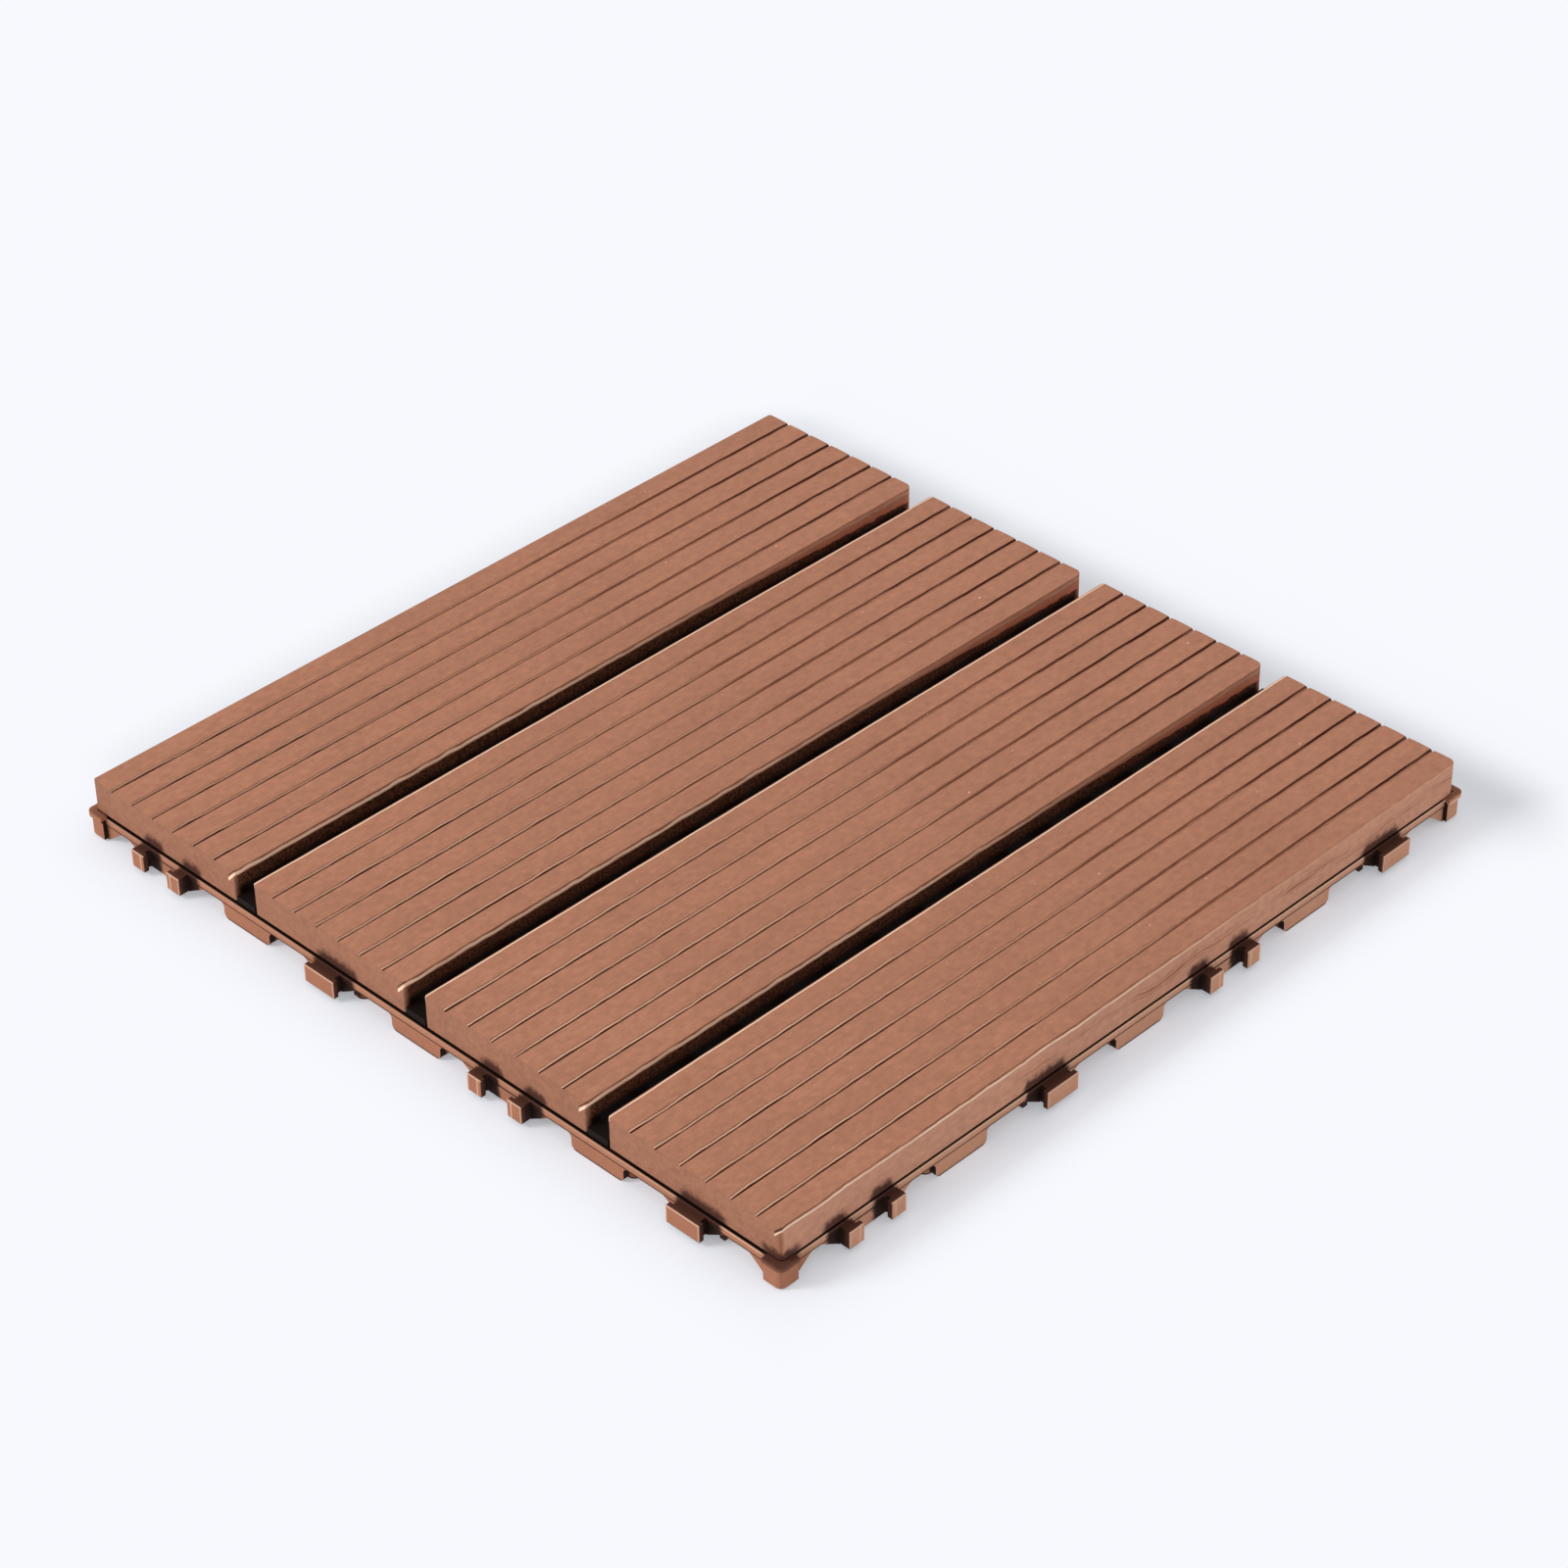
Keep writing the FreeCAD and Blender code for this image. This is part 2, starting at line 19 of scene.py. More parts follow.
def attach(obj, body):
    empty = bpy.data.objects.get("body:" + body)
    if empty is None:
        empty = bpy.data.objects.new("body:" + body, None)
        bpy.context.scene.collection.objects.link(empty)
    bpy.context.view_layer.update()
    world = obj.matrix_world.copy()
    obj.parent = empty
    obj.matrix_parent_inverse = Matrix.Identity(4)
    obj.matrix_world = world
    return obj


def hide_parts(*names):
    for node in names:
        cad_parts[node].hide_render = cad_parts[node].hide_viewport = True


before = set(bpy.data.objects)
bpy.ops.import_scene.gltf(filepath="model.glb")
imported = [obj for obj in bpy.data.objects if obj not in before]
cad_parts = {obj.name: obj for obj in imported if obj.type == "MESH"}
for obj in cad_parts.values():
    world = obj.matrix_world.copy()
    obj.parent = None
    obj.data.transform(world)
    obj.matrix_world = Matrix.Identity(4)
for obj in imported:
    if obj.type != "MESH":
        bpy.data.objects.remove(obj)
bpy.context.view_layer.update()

log = logging.getLogger("deck_tile")

MM = 0.001
NEAR_MM = 0.02

Rgb = tuple[float, float, float]
Test = Callable[[Vector], bool]


class Axis(Enum):
    """An axis of the tile's frame, by its place in a vector."""

    ACROSS = 0
    ALONG = 1
    UP = 2

    @property
    def direction(self) -> Vector:
        """Unit vector along the axis."""
        return Vector([float(place == self.value) for place in range(3)])


class Merge(Enum):
    """What one shape does to another."""

    CUT = "DIFFERENCE"
    ADD = "UNION"


def tone(red: int, green: int, blue: int) -> Rgb:
    """Linear colour of an 8-bit screen colour.

    Args:
        red: Red, 0 to 255.
        green: Green, 0 to 255.
        blue: Blue, 0 to 255.

    Returns:
        The three linear values that a shader takes.
    """

    def linear(value: float) -> float:
        """One channel from screen to linear."""
        return value / 12.92 if value <= 0.04045 else ((value + 0.055) / 1.055) ** 2.4

    return linear(red / 255), linear(green / 255), linear(blue / 255)


@dataclass(frozen=True)
class TileLayout:
    """Where the tile's repeated features lie, in millimetres.

    Attributes:
        slat_pitch: Distance between the centre lines of two slats.
        slat_width: Width of a slat.
        slat_half_length: Distance of a slat's ends from its middle.
        base_half: Distance of the rim's faces from the middle of the tile.
        seat: Height of the underside of the slats.
        top: Height of the walking face.
        rim_top: Height of the rim's upper face.
        rim_bottom: Height of the rim's lower face.
        connector_top: Height of the connectors' upper faces.
        connector_bottom: Height of the connectors' lower faces.
        prong_offset: Distance of each prong from the middle of its pair.
        prong_half: Half the width of a prong.
        tab_half: Half the width of a tab's head.
        groove_margin: Distance from a slat's edge to its first groove.
        groove_count: Grooves in a slat.
    """

    slat_pitch: float = 77.1
    slat_width: float = 68.3
    slat_half_length: float = 149.3
    base_half: float = 150.0
    seat: float = 9.0
    top: float = 20.6
    rim_top: float = 8.1
    rim_bottom: float = 5.7
    connector_top: float = 7.7
    connector_bottom: float = 1.1
    prong_offset: float = 9.2
    prong_half: float = 2.15
    tab_half: float = 6.55
    groove_margin: float = 9.32
    groove_count: int = 6

    @property
    def groove_pitch(self) -> float:
        """Distance between two grooves."""
        return (self.slat_width - 2 * self.groove_margin) / (self.groove_count - 1)

    @property
    def groove_lines(self) -> list[float]:
        """Distances of the grooves from a slat's centre line."""
        middle = (self.groove_count - 1) / 2
        return [self.groove_pitch * (index - middle) for index in range(self.groove_count)]

    @property
    def slat_lines(self) -> list[float]:
        """Distances of the slats' centre lines from the middle of the tile."""
        return [self.slat_pitch * (index - 1.5) for index in range(4)]


LAYOUT = TileLayout()


class Value:
    """A number or colour that a material works out at each point: one output in its node tree."""

    def __init__(self, socket: bpy.types.NodeSocket) -> None:
        """Take up an output."""
        self.socket = socket
        self.tree = socket.id_data

    def math(self, operation: str, *others: "Number") -> "Value":
        """One arithmetic step, by its name in the Math node, from this value and others."""
        node = add_node(self.tree, "ShaderNodeMath", dict(enumerate((self, *others))), operation=operation)
        return Value(node.outputs[0])

    def __add__(self, other: "Number") -> "Value":
        """Sum."""
        return self.math("ADD", other)

    def __sub__(self, other: "Number") -> "Value":
        """Difference."""
        return self.math("SUBTRACT", other)

    def __rsub__(self, other: float) -> "Value":
        """Difference from a plain number."""
        return self.math("MULTIPLY_ADD", -1.0, other)

    def __mul__(self, other: "Number") -> "Value":
        """Product."""
        return self.math("MULTIPLY", other)

    def __truediv__(self, other: "Number") -> "Value":
        """Quotient."""
        return self.math("DIVIDE", other)

    def __neg__(self) -> "Value":
        """The same number with the other sign."""
        return self * -1.0

    def __abs__(self) -> "Value":
        """The number without its sign."""
        return self.math("ABSOLUTE")

    def most(self, *others: "Number") -> "Value":
        """Largest of this value and others."""
        return reduce(lambda result, other: result.math("MAXIMUM", other), others, self)

    def hypot(self, other: "Value") -> "Value":
        """Length that two distances at a right angle make."""
        return (self * self + other * other).math("SQRT")

    def ramp(self, start: float, stop: float) -> "Value":
        """Soft mask that runs from 0 at start, and beyond it, to 1 at stop, whichever is larger.

        Args:
            start: Where the mask is 0.
            stop: Where the mask is 1.

        Returns:
            The mask.
        """
        node = add_node(self.tree, "ShaderNodeMapRange", {
            "Value": self, "From Min": min(start, stop), "From Max": max(start, stop),
            "To Min": float(start > stop), "To Max": float(start <= stop),
        }, interpolation_type="SMOOTHSTEP")
        return Value(node.outputs["Result"])

    def line(self, middle: float, half_mm: float) -> "Value":
        """Soft mask about one value, gone at half_mm from it."""
        return abs(self - middle).ramp(half_mm, half_mm * 0.35)

    def band(self, start: float, stop: float, soft_mm: float) -> "Value":
        """Mask that is full between two values and gone soft_mm outside them."""
        return self.ramp(start - soft_mm, start) * self.ramp(stop + soft_mm, stop)

    def raised(self, least: float) -> "Value":
        """This mask, made to run from least to 1."""
        return self.math("MULTIPLY_ADD", 1 - least, least)

    def swing(self, share: float) -> "Value":
        """Factor about 1 that follows this noise, share up or down at its usual extremes."""
        return self.math("MULTIPLY_ADD", share * 4, 1 - share * 2)

    def wander(self, reach_mm: float) -> "Value":
        """Shift about 0 that follows this noise, never past reach_mm."""
        return self.math("MULTIPLY_ADD", 2 * reach_mm, -reach_mm)

    def choose(self, one: "Value", other: "Value") -> "Value":
        """The first number where this mask is 1, and the other where it is 0."""
        return one * self + other * (1.0 - self)

    def blend(self, first: "Colour", second: "Colour") -> "Value":
        """Two colours mixed by this mask, the second where it is 1."""
        node = add_node(self.tree, "ShaderNodeMix", {0: self, 6: first, 7: second}, data_type="RGBA")
        return Value(node.outputs[2])

    def shade(self, colour: "Colour") -> "Value":
        """A colour made lighter or darker by this factor."""
        node = add_node(self.tree, "ShaderNodeVectorMath", {0: colour, "Scale": self}, operation="SCALE")
        return Value(node.outputs["Vector"])

    def mix(self, first: bpy.types.Node, second: bpy.types.Node) -> bpy.types.Node:
        """Two shaders mixed by this mask, the second where it is 1."""
        shaders = {1: Value(first.outputs[0]), 2: Value(second.outputs[0])}
        return add_node(self.tree, "ShaderNodeMixShader", {0: self, **shaders})


Number = Union[float, Value]
Colour = Union[Rgb, Value]
Layer = tuple[Value, Colour]
Inputs = dict[Union[int, str], Union[Number, Colour]]


def feed(socket: bpy.types.NodeSocket, value: Union[Number, Colour]) -> None:
    """Link a node's input to a value, or set its own.

    Args:
        socket: The input to fill.
        value: A value of the same node tree, a number or a colour.
    """
    if isinstance(value, Value):
        value.tree.links.new(value.socket, socket)
    elif socket.type == "RGBA":
        socket.default_value = (*value, 1.0)
    else:
        socket.default_value = value


def add_node(tree: bpy.types.NodeTree, kind: str, inputs: Inputs, **settings: str) -> bpy.types.Node:
    """Add a node to a node tree.

    Args:
        tree: The node tree.
        kind: The node's type.
        inputs: What goes into its inputs, by their names or places.
        settings: The node's own settings.

    Returns:
        The node.
    """
    node = tree.nodes.new(kind)
    for name, setting in settings.items():
        setattr(node, name, setting)
    for key, value in inputs.items():
        feed(node.inputs[key], value)
    return node


class Finish:
    """One material, built a value at a time from the tile's own coordinates."""

    def __init__(self, name: str, roughness: float, metallic: float = 0.0, shine: float = 0.5) -> None:
        """Start a plain material.

        Args:
            name: The material's name.
            roughness: Roughness where nothing else is linked.
            metallic: 1 for bare metal.
            shine: Specular level.
        """
        self.material = bpy.data.materials.new(name)
        self.material.use_nodes = True
        self.tree = self.material.node_tree
        self.shader = self.tree.nodes["Principled BSDF"]
        for kind, value in (("Roughness", roughness), ("Metallic", metallic), ("Specular IOR Level", shine)):
            feed(self.shader.inputs[kind], value)
        place = Value(add_node(self.tree, "ShaderNodeTexCoord", {}).outputs["Object"])
        scaled = add_node(self.tree, "ShaderNodeVectorMath", {0: place, "Scale": 1 / MM}, operation="SCALE")
        self.x, self.y, self.z = self.split(scaled.outputs["Vector"])
        geometry = add_node(self.tree, "ShaderNodeNewGeometry", {})
        self.facing = dict(zip(Axis, self.split(geometry.outputs["True Normal"])))

    def split(self, vector: bpy.types.NodeSocket) -> list[Value]:
        """The three parts of a vector."""
        node = add_node(self.tree, "ShaderNodeSeparateXYZ", {0: Value(vector)})
        return [Value(part) for part in node.outputs]

    def paint(self, colour: Colour, layers: Sequence[Layer] = ()) -> None:
        """Give the material its colour.

        Args:
            colour: The plain colour.
            layers: Masks and colours to lay on it, in order.
        """
        for mask, top in layers:
            colour = mask.blend(colour, top)
        feed(self.shader.inputs["Base Color"], colour)

    def noise(self, grain_mm: Sequence[float], detail: float = 2.0, shift: float = 0.0) -> Value:
        """Noise whose grains have a size of their own along each axis.

        Args:
            grain_mm: Size of a grain along X, Y and Z, or one size for all three.
            detail: Octaves of finer noise.
            shift: Offset that makes one noise unlike another.

        Returns:
            The noise, about 0.5 on average.
        """
        sizes = grain_mm if len(grain_mm) > 1 else list(grain_mm) * 3
        joined = add_node(self.tree, "ShaderNodeCombineXYZ", {
            axis: place.math("MULTIPLY_ADD", 1 / size, shift)
            for axis, place, size in zip("XYZ", (self.x, self.y, self.z), sizes)
        })
        inputs = {"Vector": Value(joined.outputs[0]), "Scale": 1.0, "Detail": detail}
        node = add_node(self.tree, "ShaderNodeTexNoise", inputs)
        return Value(node.outputs["Fac"])

    def bump(self, height: Value, depth_mm: float) -> None:
        """Add relief on top of any relief that is there.

        Args:
            height: The relief, 0 to 1.
            depth_mm: Height of the relief.
        """
        inputs = {"Distance": depth_mm * MM, "Strength": 1.0, "Height": height}
        normal = self.shader.inputs["Normal"]
        if normal.is_linked:
            inputs["Normal"] = Value(normal.links[0].from_socket)
        feed(normal, Value(add_node(self.tree, "ShaderNodeBump", inputs).outputs["Normal"]))

    @cached_property
    def out(self) -> Value:
        """Distance outwards from the planes of the rim's faces, below 0 inside them."""
        return abs(self.x).most(abs(self.y)) - LAYOUT.base_half

    @cached_property
    def ends(self) -> Value:
        """1 towards the near and far sides of the tile, 0 towards its left and right."""
        return abs(self.y).math("GREATER_THAN", abs(self.x))

    @cached_property
    def from_corner(self) -> Value:
        """Distance inwards from the near right corner of the slats."""
        return (LAYOUT.slat_half_length - self.x).most(self.y + LAYOUT.slat_half_length)

    @cached_property
    def ragged(self) -> Value:
        """Shift that makes the borders of the dark smudges at the near right corner uneven."""
        return self.noise([2.0], 4.0, shift=5.0).wander(1.5)

    def beside(self, shift_mm: float = 0.0) -> Value:
        """Distance sideways from the nearest connector, below 0 inside it.

        Args:
            shift_mm: Offset towards the near right corner on the two sides that meet there.

        Returns:
            The distance, in millimetres.
        """
        across = self.x * self.y.math("SIGN") * -1.0 - shift_mm
        upright = self.y * self.x.math("SIGN") + shift_mm
        along = self.ends.choose(across, upright)
        period = 2 * LAYOUT.slat_pitch
        from_pair = (along + (1.5 * LAYOUT.slat_pitch + 2 * period)).math("PINGPONG", period / 2)
        off_tab = period / 2 - from_pair - LAYOUT.tab_half
        off_prong = abs(from_pair - LAYOUT.prong_offset) - LAYOUT.prong_half
        return off_tab.math("MINIMUM", off_prong)

    def smudge(self, shift_mm: float, aside_mm: float, above_mm: float) -> Value:
        """Mask of the dark smudges round the connectors, full over a connector and gone past its reach.

        Args:
            shift_mm: Offset of the smudge towards the near right corner.
            aside_mm: How far past a connector's sides a smudge runs.
            above_mm: How far above the slats' underside a smudge runs.

        Returns:
            The mask, 0 to 1.
        """
        aside = self.beside(shift_mm).most(0.0) * (1 / aside_mm)
        above = (self.z - LAYOUT.seat).most(0.0) * (1 / above_mm)
        uneven = self.noise([1.8], 3.0).wander(0.35)
        return (aside.hypot(above) + uneven).ramp(1.05, 0.35) * self.out.ramp(-4.0, -3.0)


@dataclass(frozen=True)
class SlatLook:
    """Brushed wood composite, with painted shade and highlights on grooves and edges and between slats.

    Attributes:
        body: Colour of the walking face and the far ends.
        near_end_shade: Colour of the ends that face the lamp, painted darker as painted shade.
        lit_outer_side: Colour of the outer long faces of the tile, painted lighter as painted light.
        groove: Colour of the painted shade in the grooves and in thin marks along the long edges.
        speck_and_highlight: Colour of the pale specks, and of the painted highlights on the groove lips.
        glint: Colour of the painted highlight on the long edges that face the light.
        smudge_and_shade: Colour of the dark smudges above the connectors and by the near right corner.
        lip_highlight: Colour of the painted highlight on inner long edges, where less light reaches.
        flush: Reddish colour of painted half-shade on the far half, above the dark between slats.
        gap: Colour of the painted shade on the long faces between two slats.
        deep_gap_shade: Colour of the deeper painted shade at the bottom of those faces.
        vein: Colour of the veins on the outer long faces.
        seam: Colour of the painted shade along the slats' lowest edge, over the rim.
        veins: Height, half width and strength of each vein.
        highlight_line: Place of the painted highlight line, measured across and down the long edge.
        gap_shade_top: Height where the painted shade between two slats starts.
    """

    body: Rgb = tone(171, 117, 92)
    near_end_shade: Rgb = tone(157, 107, 83)
    lit_outer_side: Rgb = tone(197, 142, 115)
    groove: Rgb = tone(58, 20, 8)
    speck_and_highlight: Rgb = tone(244, 198, 166)
    glint: Rgb = tone(255, 226, 198)
    smudge_and_shade: Rgb = tone(70, 40, 32)
    lip_highlight: Rgb = tone(255, 188, 152)
    flush: Rgb = tone(214, 122, 88)
    gap: Rgb = tone(86, 50, 33)
    deep_gap_shade: Rgb = tone(22, 11, 7)
    vein: Rgb = tone(130, 70, 46)
    seam: Rgb = tone(34, 17, 11)
    veins: tuple[tuple[float, float, float], ...] = ((15.4, 0.8, 1.0), (14.0, 0.45, 0.8), (16.9, 0.4, 0.6))
    highlight_line: float = 35.5
    gap_shade_top: float = 18.75


class SlatFinish(Finish):
    """The slats' material. A part gives its masks and colours in the order to lay them on."""

    def __init__(self, look: SlatLook) -> None:
        """Build the material.

        Args:
            look: Its colours, and the places of its marks where it has them.
        """
        super().__init__("slat_composite", 0.66, shine=0.1)
        self.look = look
        # painted shade along the slats' lowest edge, over the shadow gap at the rim
        low = self.z.ramp(LAYOUT.seat + 0.35, LAYOUT.seat + 0.15) * self.facing[Axis.UP].ramp(-0.95, -0.8)
        self.paint(self.brushed(), [
            *self.grooves(), *self.edges(), *self.shaded_gaps(),
            # dark smudges above the connectors
            (self.smudge(3.6, 3.6, 4.6) * 0.95, look.smudge_and_shade),
            *self.corner(), (low, look.seam),
        ])
        self.bump(self.noise((0.35, 22.0, 0.35), 3.0), 0.05)
        self.bump(self.noise((1.1, 2.4, 1.1), 3.0, shift=40.0), 0.2)

    @cached_property
    def across(self) -> Value:
        """Distance from the slat's own centre line, a little uneven along its length."""
        straight = self.x.math("WRAP", LAYOUT.slat_pitch, 0.0) - LAYOUT.slat_pitch / 2
        return straight + self.noise((30.0, 11.0, 30.0), shift=7.0).wander(0.3)

    def brushed(self) -> Value:
        """Plain faces: brushed streaks and mottling, wavy veins on the outer long faces, pale specks.

        Returns:
            The faces' colour.
        """
        look, edge = self.look, LAYOUT.slat_half_length
        mottle = (
            self.noise((1.8, 2.8, 1.8), 4.0).swing(0.13)
            * self.noise((0.45, 14.0, 0.45), 3.0, shift=11.0).swing(0.05)
            * self.noise((24.0, 50.0, 24.0), 1.0, shift=23.0).swing(0.05)
            # a little lighter towards the far ends
            * (self.y.ramp(20.0, edge - 0.3) * 0.07 + 1.0)
        )
        # painted light: the outer long faces get a lighter copy of the body colour; the veins on them are
        # grain
        outer = abs(self.x).ramp(edge - 0.4, edge) * abs(self.facing[Axis.ACROSS]).ramp(0.3, 0.8)
        # painted shade: the near ends, which face the lamp, get a darker copy of the body colour
        lit_end = self.facing[Axis.ALONG].ramp(-0.4, -0.9)
        plain = mottle.shade(lit_end.blend(outer.blend(look.body, look.lit_outer_side), look.near_end_shade))
        height = self.z + self.noise([30.0], 3.0, shift=51.0).wander(4.5)
        streaks = [height.line(middle, half) * strength for middle, half, strength in look.veins]
        patches = self.noise((9.0, 26.0, 5.0), shift=63.0).ramp(0.36, 0.6)
        veins = streaks[0].most(*streaks[1:]) * patches * outer * self.y.ramp(-90.0, 0.0)
        speck = self.noise((1.3, 1.7, 1.3), 0.0, shift=91.0).ramp(0.865, 0.885)
        scatter = self.y.ramp(-40.0, 40.0) * 0.5 + 0.25
        return (speck * scatter).blend((veins * 0.6).blend(plain, look.vein), look.speck_and_highlight)

    def grooves(self) -> list[Layer]:
        """Groove lines of painted shade and highlight, pale above dark near, dark above pale far.

        Returns:
            The painted shade and the painted highlight.
        """
        half, top = LAYOUT.groove_pitch / 2, LAYOUT.top
        off = (self.across - half).math("WRAP", half, -half)
        on_top = (
            abs(self.across).ramp(27.6, 27.3) * self.z.ramp(top - 1.6, top - 1.3)
            * self.facing[Axis.UP].ramp(0.15, 0.3)
        )
        strength = self.noise((9.0, 20.0, 9.0), 3.0, shift=31.0).ramp(0.25, 0.55)
        end = abs(self.y - 15.0).ramp(25.0, 120.0)
        bold = on_top * strength.raised(0.65) * end.raised(0.55)
        far = self.y.ramp(-10.0, 80.0)
        # painted shade where the groove's wall and bottom lie in shade
        groove_shade = ((off + far * 0.5 + 0.1) / (end * 0.16 + 0.3)).line(0.0, 1.0)
        dark = groove_shade.most(off.line(-0.8, 0.2) * (1.0 - far) * 0.5)
        rightward = self.x.ramp(-150.0, 60.0) * 0.55 + 0.4
        # painted highlights on the groove lips that face the light
        near_lip = off.line(-0.48, 0.25) * far.ramp(0.5, 0.1) * rightward
        far_lip = off.line(-0.08, 0.2) * far.ramp(0.5, 1.0) * 0.3
        return [(dark * bold, self.look.groove), (near_lip.most(far_lip) * bold, self.look.speck_and_highlight)]

    def edges(self) -> list[Layer]:
        """Long edges: a painted highlight low on the round that faces the light, thin painted shade above.

        Returns:
            The painted shade marks, the painted highlights on inner lips, and those on right and left edges.
        """
        look, top = self.look, LAYOUT.top
        outer = self.x.ramp(140.0, 145.0)
        wave = self.noise((20.0, 10.0, 20.0), shift=75.0) - 0.5
        slope = self.across + (top - self.z) * 0.96
        place = slope + outer * 0.95 + wave * (outer * -0.9 + 2.1) - look.highlight_line
        patchy = self.noise((7.0, 12.0, 7.0), 3.0, shift=83.0).ramp(0.3, 0.55)
        side, near = self.across.ramp(31.0, 31.4), self.y.ramp(80.0, -50.0).raised(0.1)
        lit = near * side * patchy.raised(0.7) * (outer * -0.3 + 1.0)
        # painted shade: thin dark marks above the highlight, and a dark notch at the near end of the edge
        marks = place.line(-0.95, 0.3) * side * near * (patchy * 0.4 + 0.35)
        notch = place.line(-0.9, 0.8) * side * self.y.ramp(-147.9, -148.7) * 0.8
        # painted highlight along the left long edges, save the tile's outermost one
        left = (
            self.across.band(-33.62, -33.4, 0.14) * self.z.ramp(top - 1.7, top - 1.3)
            * self.x.ramp(-145.0, -140.0) * 0.9
        )
        return [
            (marks.most(notch), look.groove),
            (place.band(-0.7, 0.6, 0.2) * lit * (1.0 - outer) * 0.9, look.lip_highlight),
            (place.band(-0.3, 0.3, 0.15) * lit, look.glint),
            (left, look.glint),
        ]

    def shaded_gaps(self) -> list[Layer]:
        """Painted shade on the long faces between two slats, brown again close to their ends.

        Returns:
            The painted half-shade and the painted shade.
        """
        look = self.look
        inner = abs(self.x).ramp(146.0, 144.0) * abs(self.facing[Axis.ACROSS]).ramp(0.3, 0.6)
        uneven = self.noise((3.0, 4.0, 3.0), 4.0, shift=17.0).wander(1.2)
        far = self.y.ramp(40.0, LAYOUT.slat_half_length - 0.3)
        height = self.z + uneven * far.raised(0.1) + far * 3.0 - look.gap_shade_top
        from_end = LAYOUT.slat_half_length - abs(self.y) + uneven
        inside = (from_end + self.y.math("LESS_THAN", 0.0) * 1.7).ramp(0.6, 4.0)
        grain = self.noise([0.9], shift=29.0).ramp(0.35, 0.7)
        # painted shade that goes near black towards the bottom
        dark = self.z.ramp(15.5, 12.5).blend((grain * 1.3 + 0.45).shade(look.gap), look.deep_gap_shade)
        return [
            (inner * height.ramp(2.85, 0.85) * far * 0.6, look.flush),
            (inner * height.ramp(0.0, -0.65) * inside, dark),
        ]

    def corner(self) -> list[Layer]:
        """Dark smudge low round the near right corner, and a faint vein up that corner.

        Returns:
            The vein and the dark smudge.
        """
        inward, top = self.from_corner, LAYOUT.top
        vein = (inward + self.ragged * 0.4).ramp(1.5, 0.2) * self.z.ramp(top - 0.6, top - 2.1)
        low = (self.z - LAYOUT.seat + self.ragged).ramp(4.0, 1.8) * (inward + self.ragged).ramp(9.0, 5.0)
        return [(vein * 0.45, self.look.vein), (low * 0.9, self.look.smudge_and_shade)]


@dataclass(frozen=True)
class BaseLook:
    """Moulded brown plastic, with painted highlights on top edges, painted shade and dark smudges.

    Attributes:
        body: Colour of the plain faces.
        rim: Colour of the rim's outer face.
        lit_right_side: Colour of the faces on the right, away from the lamp, painted lighter as painted
            light.
        edge: Colour of the painted highlights on the edges that catch the light.
        smudge_and_shade: Colour of the dark smudges, and of the painted shade on connectors' sides.
        corner: Colour of the painted shade in the inner corners beside a connector.
        outline: Colour of the painted shade in thin lines along the lower edges.
        gap: Colour of the painted shade between and under the slats.
    """

    body: Rgb = tone(166, 110, 84)
    rim: Rgb = tone(174, 118, 91)
    lit_right_side: Rgb = tone(203, 148, 119)
    edge: Rgb = tone(244, 202, 172)
    smudge_and_shade: Rgb = tone(74, 43, 35)
    corner: Rgb = tone(22, 12, 9)
    outline: Rgb = tone(30, 13, 7)
    gap: Rgb = tone(20, 11, 7)


